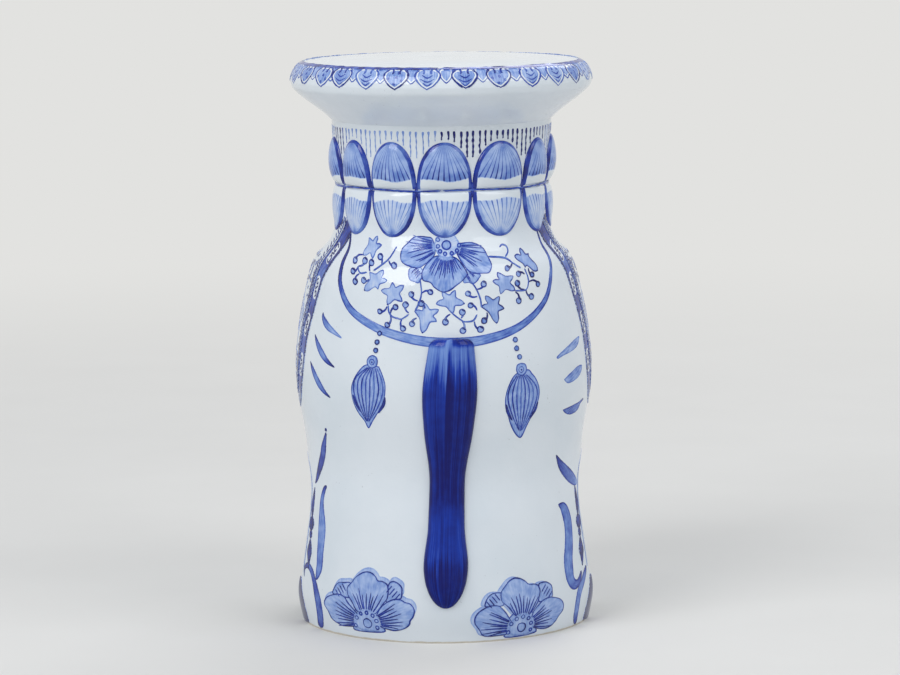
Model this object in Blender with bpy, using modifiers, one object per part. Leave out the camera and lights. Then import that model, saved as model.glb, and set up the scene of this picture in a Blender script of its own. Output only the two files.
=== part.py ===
"""Elephant garden stool in glazed ceramic, as the potter's pieces that are luted together.

Units are metres, +Z is up, and the elephant faces +Y, so its left side is towards -X. Every piece
is shaped round the seat's upright axis and hangs from an empty there. The empty stands behind the
origin, so that the origin is on the ground under the middle of the whole stool. Angles round the
stool are in degrees from the middle of the rump, positive towards +X.
"""

import math

import bmesh
import bpy
from mathutils import Vector

# Joint between two luted pieces, and the cast wall
LUTE_GAP = 0.0003
WALL = 0.007

# Body: the rise of each stretch of its outline, and the outer radius at its top
FOOT_EDGE_RADIUS = 0.1180
FOOT_RISE = 0.028
FOOT_RADIUS = 0.1228
ANKLE_RISE = 0.067
ANKLE_RADIUS = 0.1163
WAIST_RISE = 0.037
WAIST_RADIUS = 0.1118
BELLY_RISE = 0.073
BELLY_RADIUS = 0.1203
BACK_RISE = 0.074
BACK_RADIUS = 0.1097
SHOULDER_RISE = 0.016
SHOULDER_RADIUS = 0.1040
NAPE_RISE = 0.017
NAPE_RADIUS = 0.0905
COLLAR_RISE = 0.016
COLLAR_RADIUS = 0.0860
COLLAR_LENGTH = 0.029
CHEST_DEPTH = 0.010

WAIST_HEIGHT = FOOT_RISE + ANKLE_RISE + WAIST_RISE
BELLY_HEIGHT = WAIST_HEIGHT + BELLY_RISE
BACK_HEIGHT = BELLY_HEIGHT + BACK_RISE
NAPE_HEIGHT = BACK_HEIGHT + SHOULDER_RISE + NAPE_RISE
COLLAR_HEIGHT = NAPE_HEIGHT + COLLAR_RISE
BODY_HEIGHT = COLLAR_HEIGHT + COLLAR_LENGTH

# Arch between the fore and hind legs, right through from side to side
ARCH_TOP = 0.128
ARCH_HALF_WIDTH = 0.036
ARCH_FOOT_HALF_WIDTH = 0.030
ARCH_FLARE_HEIGHT = 0.070
ARCH_LIP = 0.005

# Lotus petals: edges of the five broad ones on the rump side, the rest shared out evenly
REAR_PETAL_EDGES = (-64.5, -40.3, -13.4, 16.1, 47.6, 72.6)
FRONT_PETALS = 8
PETAL_ROUNDNESS = 0.7
LOWER_PETAL_DROP = 0.016
LOWER_PETAL_HALF_HEIGHT = 0.0215
LOWER_PETAL_SWELL = 0.0036
UPPER_PETAL_RISE = 0.0205
UPPER_PETAL_HALF_HEIGHT = 0.0166
UPPER_PETAL_SWELL = 0.0054

# Pedestal under the seat
PEDESTAL_HEIGHT = 0.0495
NECK_RADIUS = 0.0888

# Seat: flared underside, rolled rim and crowned top, each stretch with its rise
SEAT_RADIUS = 0.1218
FLARE_ROOT_RISE = 0.0045
FLARE_ROOT_OUT = 0.0047
FLARE_RISE = 0.0183
FLARE_INSET = 0.0052
RIM_UNDER_RISE = 0.0090
RIM_UNDER_INSET = 0.0012
RIM_SHOULDER_RISE = 0.0152
RIM_SHOULDER_WIDTH = 0.0110
SHOULDER_ROUNDNESS = 1.75
SEAT_CROWN = 0.0030
SEAT_FLAT_RADIUS = 0.050
SEAT_PLATE = 0.009

FLARE_ROOT_RADIUS = NECK_RADIUS + FLARE_ROOT_OUT
FLARE_RADIUS = SEAT_RADIUS - FLARE_INSET
SEAT_TOP_RADIUS = SEAT_RADIUS - RIM_SHOULDER_WIDTH

# Tail on the rump, from its root down
TAIL_BELOW_BACK = 0.033
TAIL_LENGTH = 0.217
TAIL_ROOT_HALF_WIDTH = 0.0165
TAIL_ROOT_ROUNDING = 0.0045
TAIL_BULGE_DROP = 0.047
TAIL_BULGE_HALF_WIDTH = 0.0209
TAIL_NECK_DROP = 0.126
TAIL_NECK_HALF_WIDTH = 0.0132
TAIL_TUFT_DROP = 0.176
TAIL_TUFT_HALF_WIDTH = 0.0166
TAIL_RELIEF = 0.0085
TAIL_LEAN = 0.0066

# Head: its size, and how far its middle lies below the back and before the chest
HEAD_HALF_WIDTH = 0.066
HEAD_HALF_HEIGHT = 0.062
HEAD_LENGTH = 0.069
HEAD_BELOW_BACK = 0.017
FOREHEAD_SWELL = 0.07
HEAD_HEIGHT = BACK_HEIGHT - HEAD_BELOW_BACK

# Trunk
TRUNK_ROOT_RADIUS = 0.0290
TRUNK_TIP_RADIUS = 0.0125
TRUNK_CURL_RADIUS = 0.020
TRUNK_CURL_ANGLE = 150.0
TRUNK_GROUND_CLEARANCE = 0.012
TRUNK_LEAN = 0.015
TRUNK_BED_SHARE = 0.1

# Tusks
TUSK_RADIUS = 0.0080
TUSK_LENGTH = 0.050
TUSK_ROOT_DEPTH = 0.024
TUSK_SPREAD = 0.036
TUSK_SPLAY = 0.15
TUSK_BELOW_HEAD = 0.046
TUSK_SAG = 0.012
TUSK_HEIGHT = HEAD_HEIGHT - TUSK_BELOW_HEAD

# Ears, lying back against the shoulders
EAR_ANGLE = 134.0
EAR_HALF_WIDTH = 0.046
EAR_UPPER_HEIGHT = 0.050
EAR_LOWER_HEIGHT = 0.084
EAR_BELOW_BACK = 0.022
EAR_SWEEP = 0.013
EAR_POINT = 0.35
EAR_THICKNESS = 0.008

# Smoothness
TURNED_STEPS = 72
CAVITY_STEPS = 40
SEAT_STEPS = 60
SECTION_SIDES = 24
SECTION_STEPS = 3
CUT_MARGIN = 0.020

# Glaze
GLAZE_WHITE = (0.78, 0.82, 0.86, 1.0)
COBALT_BLUE = (0.03, 0.06, 0.34, 1.0)
GLAZE_ROUGHNESS = 0.12


def smoothstep(t):
    t = min(max(t, 0.0), 1.0)
    return t * t * (3.0 - 2.0 * t)


def curve_through(knots):
    """Function of a place through (place, value) knots, smooth and never past its neighbours."""
    places = [place for place, _ in knots]
    values = [value for _, value in knots]
    steps = [b - a for a, b in zip(places, places[1:])]
    rises = [(b - a) / step for a, b, step in zip(values, values[1:], steps)]
    slopes = [rises[0]]
    for before, after, short, long in zip(rises, rises[1:], steps, steps[1:]):
        if before * after <= 0.0:
            slopes.append(0.0)
            continue
        near, far = 2.0 * long + short, long + 2.0 * short
        slopes.append((near + far) / (near / before + far / after))
    slopes.append(rises[-1])

    def value_at(place):
        place = min(max(place, places[0]), places[-1])
        i = max(n for n, start in enumerate(places[:-1]) if place >= start)
        t = (place - places[i]) / steps[i]
        between = values[i] + (values[i + 1] - values[i]) * t * t * (3.0 - 2.0 * t)
        lead_in = slopes[i] * steps[i] * t * (1.0 - t) ** 2
        return between + lead_in - slopes[i + 1] * steps[i] * t * t * (1.0 - t)

    return value_at


def outline_knots(start_radius, stretches):
    """(height, radius) knots from the ground up, for stretches of (rise, radius at its top)."""
    knots = [(0.0, start_radius)]
    for rise, radius in stretches:
        knots.append((knots[-1][0] + rise, radius))
    return knots


BODY_KNOTS = outline_knots(
    FOOT_EDGE_RADIUS,
    (
        (FOOT_RISE, FOOT_RADIUS),
        (ANKLE_RISE, ANKLE_RADIUS),
        (WAIST_RISE, WAIST_RADIUS),
        (BELLY_RISE, BELLY_RADIUS),
        (BACK_RISE, BACK_RADIUS),
        (SHOULDER_RISE, SHOULDER_RADIUS),
        (NAPE_RISE, NAPE_RADIUS),
        (COLLAR_RISE, COLLAR_RADIUS),
        (COLLAR_LENGTH, COLLAR_RADIUS),
    ),
)
body_radius = curve_through(BODY_KNOTS)


def chest_stretch(height):
    """How much longer the body is towards the chest than towards the rump, at a height."""
    fade = smoothstep((COLLAR_HEIGHT - height) / (COLLAR_HEIGHT - BELLY_HEIGHT))
    return 1.0 + CHEST_DEPTH / BELLY_RADIUS * fade


def chest_y(height):
    return body_radius(height) * chest_stretch(height)


def skin_point(angle, height, offset=0.0):
    """A point that lies offset outside the body's skin."""
    radius = body_radius(height) + offset
    turn = math.radians(angle)
    x, y = radius * math.sin(turn), -radius * math.cos(turn)
    return (x, y * chest_stretch(height) if y > 0.0 else y, height)


def petal_edges():
    """The angles at which one lotus petal meets the next, once round the collar."""
    first, last = REAR_PETAL_EDGES[0], REAR_PETAL_EDGES[-1]
    step = (360.0 - (last - first)) / FRONT_PETALS
    return [*REAR_PETAL_EDGES, *(last + step * n for n in range(1, FRONT_PETALS + 1))]


def petal_dome(angle, height, middle, half_height, swell):
    """How far a lotus petal stands out at a point: a soft dome inside an oval."""
    edges = petal_edges()
    turn = (angle - edges[0]) % 360.0 + edges[0]
    left, right = next(pair for pair in zip(edges, edges[1:]) if turn <= pair[1])
    across = (2.0 * turn - left - right) / (right - left)
    inside = 1.0 - across**2 - ((height - middle) / half_height) ** 2
    return swell * max(inside, 0.0) ** PETAL_ROUNDNESS


def lower_petals(angle, height):
    middle = BODY_HEIGHT - LOWER_PETAL_DROP
    return petal_dome(angle, height, middle, LOWER_PETAL_HALF_HEIGHT, LOWER_PETAL_SWELL)


def upper_petals(angle, height):
    middle = BODY_HEIGHT + UPPER_PETAL_RISE
    return petal_dome(angle, height, middle, UPPER_PETAL_HALF_HEIGHT, UPPER_PETAL_SWELL)


def collection_named(name):
    collection = bpy.data.collections.new(name)
    bpy.context.scene.collection.children.link(collection)
    return collection


def glaze_material(name, colour):
    material = bpy.data.materials.new(name)
    material.use_nodes = True
    shader = material.node_tree.nodes["Principled BSDF"]
    shader.inputs["Base Color"].default_value = colour
    shader.inputs["Roughness"].default_value = GLAZE_ROUGHNESS
    shader.inputs["Metallic"].default_value = 0.0
    return material


def add_object(name, data, collection):
    obj = bpy.data.objects.new(name, data)
    obj.parent = seat_axis
    collection.objects.link(obj)
    return obj


def add_part(name, mesh, colour=GLAZE_WHITE):
    """A piece of the stool, round where its faces meet at less than 35 degrees."""
    mesh.shade_smooth()
    mesh.set_sharp_from_angle(angle=math.radians(35.0))
    mesh.materials.clear()
    mesh.materials.append(glaze_material(name + "_glaze", colour))
    return add_object(name, mesh, parts)


def add_cutter(name, mesh):
    obj = add_object(name, mesh, cutters)
    obj.hide_render = True
    obj.display_type = "WIRE"
    return obj


def add_boolean(obj, operation, other):
    modifier = obj.modifiers.new(other.name, "BOOLEAN")
    modifier.operation = operation
    modifier.solver = "EXACT"
    modifier.object = other


def mesh_of(obj):
    """The object's mesh with its modifiers or bevel in place. The object itself is removed."""
    bpy.context.view_layer.update()
    graph = bpy.context.evaluated_depsgraph_get()
    mesh = bpy.data.meshes.new_from_object(obj.evaluated_get(graph))
    bpy.data.objects.remove(obj)
    return mesh


def mesh_from(frame, name):
    """A mesh from a bmesh, its doubles welded and its faces outwards."""
    bmesh.ops.remove_doubles(frame, verts=frame.verts, dist=0.00001)
    bmesh.ops.recalc_face_normals(frame, faces=frame.faces)
    mesh = bpy.data.meshes.new(name)
    frame.to_mesh(mesh)
    frame.free()
    return mesh


def turned_mesh(name, profile, steps, closed):
    """A profile of (radius, height) points, outer side from top to bottom, turned about Z."""
    mesh = bpy.data.meshes.new(name)
    edges = [(n, n + 1) for n in range(len(profile) - 1)]
    if closed:
        edges.append((len(profile) - 1, 0))
    mesh.from_pydata([(radius, 0.0, height) for radius, height in profile], edges, [])
    obj = add_object(name, mesh, cutters)
    screw = obj.modifiers.new("Turn", "SCREW")
    screw.steps = screw.render_steps = steps
    screw.use_merge_vertices = True
    screw.merge_threshold = 0.0001
    return mesh_of(obj)


def loft_mesh(name, rings):
    """A closed skin through rings of equally many points, with a flat cap at each end."""
    frame = bmesh.new()
    loops = [[frame.verts.new(point) for point in ring] for ring in rings]
    for low, high in zip(loops, loops[1:]):
        for n in range(len(low)):
            after = (n + 1) % len(low)
            frame.faces.new((low[n], low[after], high[after], high[n]))
    frame.faces.new(reversed(loops[0]))
    frame.faces.new(loops[-1])
    return mesh_from(frame, name)


def tube_mesh(name, points, radii):
    """A round tapering bar along a smooth curve, as a closed mesh."""
    curve = bpy.data.curves.new(name, "CURVE")
    curve.dimensions = "3D"
    curve.resolution_u = 3
    curve.bevel_depth = 1.0
    curve.bevel_resolution = 3
    curve.use_fill_caps = True
    spline = curve.splines.new("BEZIER")
    spline.bezier_points.add(len(points) - 1)
    for knot, point, radius in zip(spline.bezier_points, points, radii):
        knot.co = point
        knot.radius = radius
        knot.handle_left_type = knot.handle_right_type = "AUTO"
    frame = bmesh.new()
    frame.from_mesh(mesh_of(add_object(name, curve, cutters)))
    return mesh_from(frame, name)


def spread(start, end, count):
    """Evenly spaced heights after a start, up to and with the end."""
    return [start + (end - start) * n / count for n in range(1, count + 1)]


def body_heights():
    """Heights of the rows of points up the body's skin, closer together over the petals."""
    petal_foot = BODY_HEIGHT - LOWER_PETAL_DROP - LOWER_PETAL_HALF_HEIGHT
    foot = [0.0, 0.25 * FOOT_RISE, FOOT_RISE]
    legs = spread(FOOT_RISE, WAIST_HEIGHT, 6)
    sides = spread(WAIST_HEIGHT, BELLY_HEIGHT, 3) + spread(BELLY_HEIGHT, BACK_HEIGHT, 3)
    collar = spread(BACK_HEIGHT, petal_foot, 4) + spread(petal_foot, BODY_HEIGHT, 6)
    return foot + legs + sides + collar


def draw_to_chest(mesh, with_petals):
    """Adds the lower petals to a turned body's skin and draws its front half out to the chest."""
    for vertex in mesh.vertices:
        x, y, height = vertex.co
        radius = math.hypot(x, y)
        if with_petals and radius > 0.5 * COLLAR_RADIUS:
            grown = 1.0 + lower_petals(math.degrees(math.atan2(x, -y)), height) / radius
            x, y = x * grown, y * grown
        if y > 0.0:
            y *= chest_stretch(height)
        vertex.co = (x, y, height)


def body_solid_mesh(name, offset, with_petals, reach, steps):
    """The body's skin moved out by an offset and filled, reaching past both ends."""
    skin = [(body_radius(z) + offset, z) for z in reversed(body_heights())]
    top, bottom = BODY_HEIGHT + reach, -reach
    if reach > 0.0:
        skin = [(skin[0][0], top), *skin, (skin[-1][0], bottom)]
    mesh = turned_mesh(name, [(0.0, top), *skin, (0.0, bottom)], steps, closed=False)
    draw_to_chest(mesh, with_petals)
    return mesh


def arch_half_width(height):
    flare = smoothstep(height / ARCH_FLARE_HEIGHT)
    return ARCH_FOOT_HALF_WIDTH + (ARCH_HALF_WIDTH - ARCH_FOOT_HALF_WIDTH) * flare


def arch_outline(offset):
    """(y, z) points of the arch moved outwards by an offset, up one leg and down the other."""
    spring = ARCH_TOP - ARCH_HALF_WIDTH
    heights = [-CUT_MARGIN, 0.0, *spread(0.0, min(ARCH_FLARE_HEIGHT, 0.9 * spring), 5)]
    side = [(arch_half_width(z) + offset, z) for z in heights]
    reach = ARCH_HALF_WIDTH + offset
    turns = [math.pi * n / 12 for n in range(13)]
    crown = [(reach * math.cos(turn), spring + reach * math.sin(turn)) for turn in turns]
    return side + crown + [(-y, z) for y, z in reversed(side)]


def arch_ring(side, offset, depth):
    """The arch's outline carried to a depth under the body's skin, on one side of the stool."""
    ring = []
    for y, z in arch_outline(offset):
        turned_y = y / chest_stretch(z) if y > 0.0 else y
        ring.append((side * (math.sqrt(body_radius(z) ** 2 - turned_y**2) - depth), y, z))
    return ring


def tunnel_mesh():
    """The open way through the arch, with a rounded lip where it meets the skin."""
    turns = [math.radians(angle) for angle in (0.0, 30.0, 60.0, 84.0)]
    lip = [(ARCH_LIP * (1.0 - math.cos(t)), ARCH_LIP * (1.0 - math.sin(t))) for t in turns]
    lip.append((ARCH_LIP, -CUT_MARGIN))
    left = [arch_ring(-1.0, offset, depth) for offset, depth in reversed(lip)]
    right = [arch_ring(1.0, offset, depth) for offset, depth in lip]
    return loft_mesh("tunnel", left + right)


def vault_mesh():
    """The wall round the tunnel, before its ends are trimmed to the body."""
    reach = FOOT_RADIUS + CUT_MARGIN
    outline = [(y, max(z, 0.0)) for y, z in arch_outline(WALL)[1:-1]]
    return loft_mesh("vault", [[(x, y, z) for y, z in outline] for x in (-reach, reach)])


def make_body():
    """Hollow body and legs, open below and at the collar, with the arch as a walled tunnel."""
    body = add_part("body_shell", body_solid_mesh("body_shell", 0.0, True, 0.0, TURNED_STEPS))
    cavity = body_solid_mesh("cavity", -WALL, False, CUT_MARGIN, CAVITY_STEPS)
    limit = body_solid_mesh("vault_limit", -0.5 * WALL, False, CUT_MARGIN, CAVITY_STEPS)
    vault = add_cutter("vault", vault_mesh())
    add_boolean(vault, "INTERSECT", add_cutter("vault_limit", limit))
    add_boolean(body, "DIFFERENCE", add_cutter("cavity", cavity))
    add_boolean(body, "UNION", vault)
    add_boolean(body, "DIFFERENCE", add_cutter("tunnel", tunnel_mesh()))


def make_pedestal():
    """Neck between body and seat, with the upper row of petals on its skin."""
    foot = BODY_HEIGHT + LUTE_GAP
    top = foot + PEDESTAL_HEIGHT
    neck = curve_through(((foot, COLLAR_RADIUS), (top, NECK_RADIUS)))
    petal_top = BODY_HEIGHT + UPPER_PETAL_RISE + UPPER_PETAL_HALF_HEIGHT
    heights = [foot, *spread(foot, petal_top, 8), top]
    outer = [(neck(z), z) for z in reversed(heights)]
    inner = [(neck(z) - WALL, z) for z in (foot, top)]
    mesh = turned_mesh("lotus_pedestal", outer + inner, TURNED_STEPS, closed=True)
    for vertex in mesh.vertices:
        x, y, z = vertex.co
        radius = math.hypot(x, y)
        if radius > neck(z) - 0.5 * WALL:
            grown = 1.0 + upper_petals(math.degrees(math.atan2(x, -y)), z) / radius
            vertex.co = (x * grown, y * grown, z)
    add_part("lotus_pedestal", mesh)


def make_seat():
    """Seat cap: a slightly crowned plate, a rolled rim and a flared underside, hollow within."""
    base = BODY_HEIGHT + PEDESTAL_HEIGHT + 2.0 * LUTE_GAP
    flare_top = FLARE_ROOT_RISE + FLARE_RISE
    widest = flare_top + RIM_UNDER_RISE
    edge = widest + RIM_SHOULDER_RISE
    top = edge + SEAT_CROWN

    crown = []
    for share in (0.0, 0.5, 1.0):
        radius = SEAT_FLAT_RADIUS + (SEAT_TOP_RADIUS - SEAT_FLAT_RADIUS) * share
        crown.append((radius, top - SEAT_CROWN * share**2))
    shoulder = []
    for drop in (0.08, 0.25, 0.5, 0.8):
        share = (1.0 - (1.0 - drop) ** SHOULDER_ROUNDNESS) ** (1.0 / SHOULDER_ROUNDNESS)
        radius = SEAT_TOP_RADIUS + (SEAT_RADIUS - SEAT_TOP_RADIUS) * share
        shoulder.append((radius, edge - RIM_SHOULDER_RISE * drop))
    under = [
        (SEAT_RADIUS, widest),
        (SEAT_RADIUS - RIM_UNDER_INSET, widest - 0.5 * RIM_UNDER_RISE),
        (FLARE_RADIUS, flare_top),
        (FLARE_ROOT_RADIUS, FLARE_ROOT_RISE),
        (NECK_RADIUS, 0.0),
    ]
    outer = [(0.0, top), *crown, *shoulder, *under]
    inner = [
        (NECK_RADIUS - WALL, 0.0),
        (FLARE_ROOT_RADIUS - WALL, FLARE_ROOT_RISE + WALL),
        (FLARE_RADIUS - WALL, flare_top + 0.5 * RIM_UNDER_RISE),
        (SEAT_RADIUS - 1.5 * WALL, widest + 0.2 * RIM_SHOULDER_RISE),
        (SEAT_TOP_RADIUS - WALL, edge - SEAT_PLATE),
        (0.0, edge - SEAT_PLATE),
    ]
    profile = [(radius, base + z) for radius, z in outer + inner]
    add_part("seat_cap", turned_mesh("seat_cap", profile, SEAT_STEPS, closed=False))


def make_tail(envelope):
    """Tail in relief on the rump: round at its root, it swells, narrows and ends in a tuft."""
    half_width = curve_through(
        (
            (0.0, TAIL_ROOT_HALF_WIDTH),
            (TAIL_BULGE_DROP, TAIL_BULGE_HALF_WIDTH),
            (TAIL_NECK_DROP, TAIL_NECK_HALF_WIDTH),
            (TAIL_TUFT_DROP, TAIL_TUFT_HALF_WIDTH),
            (TAIL_LENGTH, TAIL_TUFT_HALF_WIDTH),
        )
    )
    tuft_start = TAIL_LENGTH - TAIL_TUFT_HALF_WIDTH
    stations = []
    for turn in (math.radians(angle) for angle in (0.0, 30.0, 60.0, 90.0)):
        narrowed = TAIL_ROOT_ROUNDING * (1.0 - math.sin(turn))
        drop = TAIL_ROOT_ROUNDING * (1.0 - math.cos(turn))
        stations.append((drop, 1.0 - narrowed / TAIL_ROOT_HALF_WIDTH))
    stations += [(drop, 1.0) for drop in spread(stations[-1][0], tuft_start, 13)]
    for turn in (math.radians(angle) for angle in (22.0, 44.0, 64.0, 82.0)):
        stations.append((tuft_start + TAIL_TUFT_HALF_WIDTH * math.sin(turn), math.cos(turn)))
    rings = []
    for drop, size in stations:
        z = BACK_HEIGHT - TAIL_BELOW_BACK - drop
        middle = TAIL_LEAN * (1.0 - drop / TAIL_LENGTH) ** 1.5
        ring = []
        for turn in (math.tau * n / 18 for n in range(18)):
            x = middle + half_width(drop) * size * math.cos(turn)
            rump_y = -math.sqrt(body_radius(z) ** 2 - x**2)
            ring.append((x, rump_y - TAIL_RELIEF * size * math.sin(turn), z))
        rings.append(ring)
    add_boolean(add_part("tail", loft_mesh("tail", rings), COBALT_BLUE), "DIFFERENCE", envelope)


def head_stations():
    """Front point, back point and half width of the head's sections, from inside the chest forwards.

    The sections fan out from the throat, so the head turns over into the trunk without a crease.
    """
    chest = chest_y(HEAD_HEIGHT)
    fan = (
        ((-0.65, 0.80), (-0.58, -0.72), 0.73),
        ((-0.07, 1.03), (-0.26, -0.84), 0.94),
        ((0.32, 0.97), (-0.09, -0.94), 1.0),
        ((0.67, 0.65), (0.04, -1.0), 0.94),
        ((0.90, 0.16), (0.13, -1.05), 0.80),
        ((1.0, -0.39), (0.17, -1.11), 0.65),
    )
    stations = []
    for front, back, width in fan:
        ends = [(chest + y * HEAD_LENGTH, HEAD_HEIGHT + z * HEAD_HALF_HEIGHT) for y, z in (front, back)]
        stations.append((*ends, width * HEAD_HALF_WIDTH))
    return stations


def trunk_stations():
    """The same for the trunk: off the face, down to its bed on the chest, and round its curl."""
    throat_height = head_stations()[-1][1][1]
    root, curl_start = TRUNK_ROOT_RADIUS, 1.15 * TRUNK_TIP_RADIUS
    curl_height = TRUNK_GROUND_CLEARANCE + TRUNK_TIP_RADIUS + TRUNK_CURL_RADIUS
    fall = throat_height - 0.4 * root - curl_height
    stations = []
    for share in (0.08, 0.24, 0.42, 0.62, 0.82, 1.0):
        radius = root + (curl_start - root) * share
        height = curl_height + fall * (1.0 - share)
        off_chest = (1.0 - share) ** 3
        tilt = 0.7 * radius * off_chest
        back_y = chest_y(height) - TRUNK_BED_SHARE * radius + 0.3 * TRUNK_LEAN * off_chest
        front_y = back_y + 2.0 * radius + 0.7 * TRUNK_LEAN * off_chest
        stations.append(((front_y, height + tilt), (back_y, height - tilt), radius))
    start_y = 0.5 * (front_y + back_y)
    turns = 5
    for n in range(1, turns + 1):
        turn = math.radians(TRUNK_CURL_ANGLE * n / turns)
        radius = curl_start + (TRUNK_TIP_RADIUS - curl_start) * n / turns
        y = start_y + TRUNK_CURL_RADIUS * (1.0 - math.cos(turn))
        z = curl_height - TRUNK_CURL_RADIUS * math.sin(turn)
        lean_y, lean_z = radius * math.cos(turn), radius * math.sin(turn)
        stations.append(((y + lean_y, z + lean_z), (y - lean_y, z - lean_z), radius))
    return stations


def forehead_lobes(place, from_front):
    """Two soft swellings on the forehead, one on each side of its middle."""
    highest_section, sections = 2.4, 1.9
    lobe_turn, lobe_width = 0.75, 0.4
    up_the_face = max(0.0, 1.0 - ((place - highest_section) / sections) ** 2)
    return FOREHEAD_SWELL * up_the_face * math.exp(-(((from_front - lobe_turn) / lobe_width) ** 2))


def face_rings(stations, offset):
    """Oval rings through the stations, and between them, grown by an offset."""
    columns = zip(*([*front, *back, width] for front, back, width in stations))
    curves = [curve_through(list(enumerate(values))) for values in columns]
    rings = []
    for n in range(SECTION_STEPS * (len(stations) - 1) + 1):
        place = n / SECTION_STEPS
        front_y, front_z, back_y, back_z, width = (curve(place) for curve in curves)
        front, back = Vector((0.0, front_y, front_z)), Vector((0.0, back_y, back_z))
        forwards = 0.5 * (front - back)
        ring = []
        for turn in (math.tau * side / SECTION_SIDES for side in range(SECTION_SIDES)):
            swell = 1.0 + forehead_lobes(place, math.pi - abs(turn - math.pi))
            along = 1.0 + math.cos(turn) * (swell + offset / forwards.length)
            across = math.sin(turn) * (width * swell + offset)
            ring.append(back + forwards * along + Vector((across, 0.0, 0.0)))
        rings.append(ring)
    return rings


def ring_middle(ring):
    return sum(ring, Vector()) / len(ring)


def make_head_and_trunk(envelope):
    """Head and trunk from one run of sections, parted where the trunk leaves the face."""
    head = head_stations()
    rings = face_rings(head + trunk_stations(), 0.0)
    joint = SECTION_STEPS * (len(head) - 1)
    ahead = (ring_middle(rings[joint + 1]) - ring_middle(rings[joint])).normalized()
    root = [point + LUTE_GAP * ahead for point in rings[joint]]
    tip = ring_middle(rings[-1])
    ahead = (tip - ring_middle(rings[-2])).normalized()
    end = []
    for turn in (math.radians(angle) for angle in (35.0, 65.0)):
        reach = TRUNK_TIP_RADIUS * math.sin(turn) * ahead
        end.append([tip + math.cos(turn) * (point - tip) + reach for point in rings[-1]])
    head_part = add_part("head", loft_mesh("head", rings[: joint + 1]))
    trunk_part = add_part("trunk", loft_mesh("trunk", [root, *rings[joint + 1 :], *end]))
    add_boolean(head_part, "DIFFERENCE", envelope)
    add_boolean(trunk_part, "DIFFERENCE", envelope)


def make_tusk(side, name, face):
    """Short tusk from beside the trunk, forwards and slightly down, its point turned up."""
    root_y = chest_y(TUSK_HEIGHT) + TUSK_ROOT_DEPTH
    points = []
    radii = []
    taper = ((0.0, 1.0), (0.3, 0.98), (0.6, 0.82), (0.85, 0.55), (0.97, 0.32), (1.0, 0.10))
    for share, width in taper:
        reach = share * (TUSK_ROOT_DEPTH + TUSK_LENGTH)
        sag = TUSK_SAG * 4.0 * share * (1.0 - share)
        x = side * (TUSK_SPREAD + TUSK_SPLAY * reach)
        points.append((x, root_y + reach, TUSK_HEIGHT - sag))
        radii.append(TUSK_RADIUS * width)
    add_boolean(add_part(name, tube_mesh(name, points, radii)), "DIFFERENCE", face)


def make_ear(side, name, envelope, face):
    """Broad ear over the shoulder's skin, dished inside a raised rim, its lower end swept back."""
    middle = BACK_HEIGHT - EAR_BELOW_BACK
    front = ((0.04, 0.42), (0.40, 0.46), (0.72, 0.72), (0.90, 1.0), (1.0, 0.55))
    back = ((1.0, -0.25), (0.6, -0.25), (0.04, -0.25))
    rings = []
    for size, lift in front + back:
        ring = []
        for turn in (math.tau * n / SECTION_SIDES for n in range(SECTION_SIDES)):
            up = math.sin(turn)
            lower = max(-up, 0.0)
            half_width = EAR_HALF_WIDTH * (1.0 - EAR_POINT * lower**1.5)
            across = size * (half_width * math.cos(turn) - EAR_SWEEP * lower)
            z = middle + size * up * (EAR_UPPER_HEIGHT if up > 0.0 else EAR_LOWER_HEIGHT)
            angle = EAR_ANGLE + math.degrees(across / body_radius(z))
            ring.append(skin_point(side * angle, z, lift * EAR_THICKNESS))
        rings.append(ring)
    ear = add_part(name, loft_mesh(name, rings))
    add_boolean(ear, "DIFFERENCE", face)
    add_boolean(ear, "DIFFERENCE", envelope)


def axis_setback():
    """How far the seat's axis lies behind the middle of the stool's length, from tail to tusks."""
    front = chest_y(TUSK_HEIGHT) + 2.0 * TUSK_ROOT_DEPTH + TUSK_LENGTH
    rear = FOOT_RADIUS + TAIL_RELIEF
    return 0.5 * (front - rear)


def clear_scene():
    for obj in list(bpy.data.objects):
        bpy.data.objects.remove(obj)


clear_scene()
parts = collection_named("elephant_garden_stool")
cutters = collection_named("cutters")
seat_axis = bpy.data.objects.new("seat_axis", None)
seat_axis.location = (0.0, -axis_setback(), 0.0)
parts.objects.link(seat_axis)

make_body()
make_pedestal()
make_seat()
envelope_mesh = body_solid_mesh("body_envelope", LUTE_GAP, True, CUT_MARGIN, TURNED_STEPS)
body_envelope = add_cutter("body_envelope", envelope_mesh)
face_mesh = loft_mesh("face_envelope", face_rings(head_stations() + trunk_stations(), LUTE_GAP))
face_envelope = add_cutter("face_envelope", face_mesh)
make_tail(body_envelope)
make_head_and_trunk(body_envelope)
for ear_side, ear_name in ((-1.0, "ear_left"), (1.0, "ear_right")):
    make_ear(ear_side, ear_name, body_envelope, face_envelope)
for tusk_side, tusk_name in ((-1.0, "tusk_left"), (1.0, "tusk_right")):
    make_tusk(tusk_side, tusk_name, face_envelope)
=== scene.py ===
"""Dresses the elephant garden stool in its glaze and its cobalt brushwork.

Every surface is worked out round the seat's upright axis, in metres, and moved to the frame's own
place as it becomes a mesh. Angles round the stool are in degrees from the middle of the rump,
positive towards +X. A place on a surface is an angle and a height. A drawing's own plane has its
first number along the surface to the right and its second number up.
"""

import math

import bmesh
import bpy
import numpy as np
from mathutils import Matrix, Vector


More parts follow.
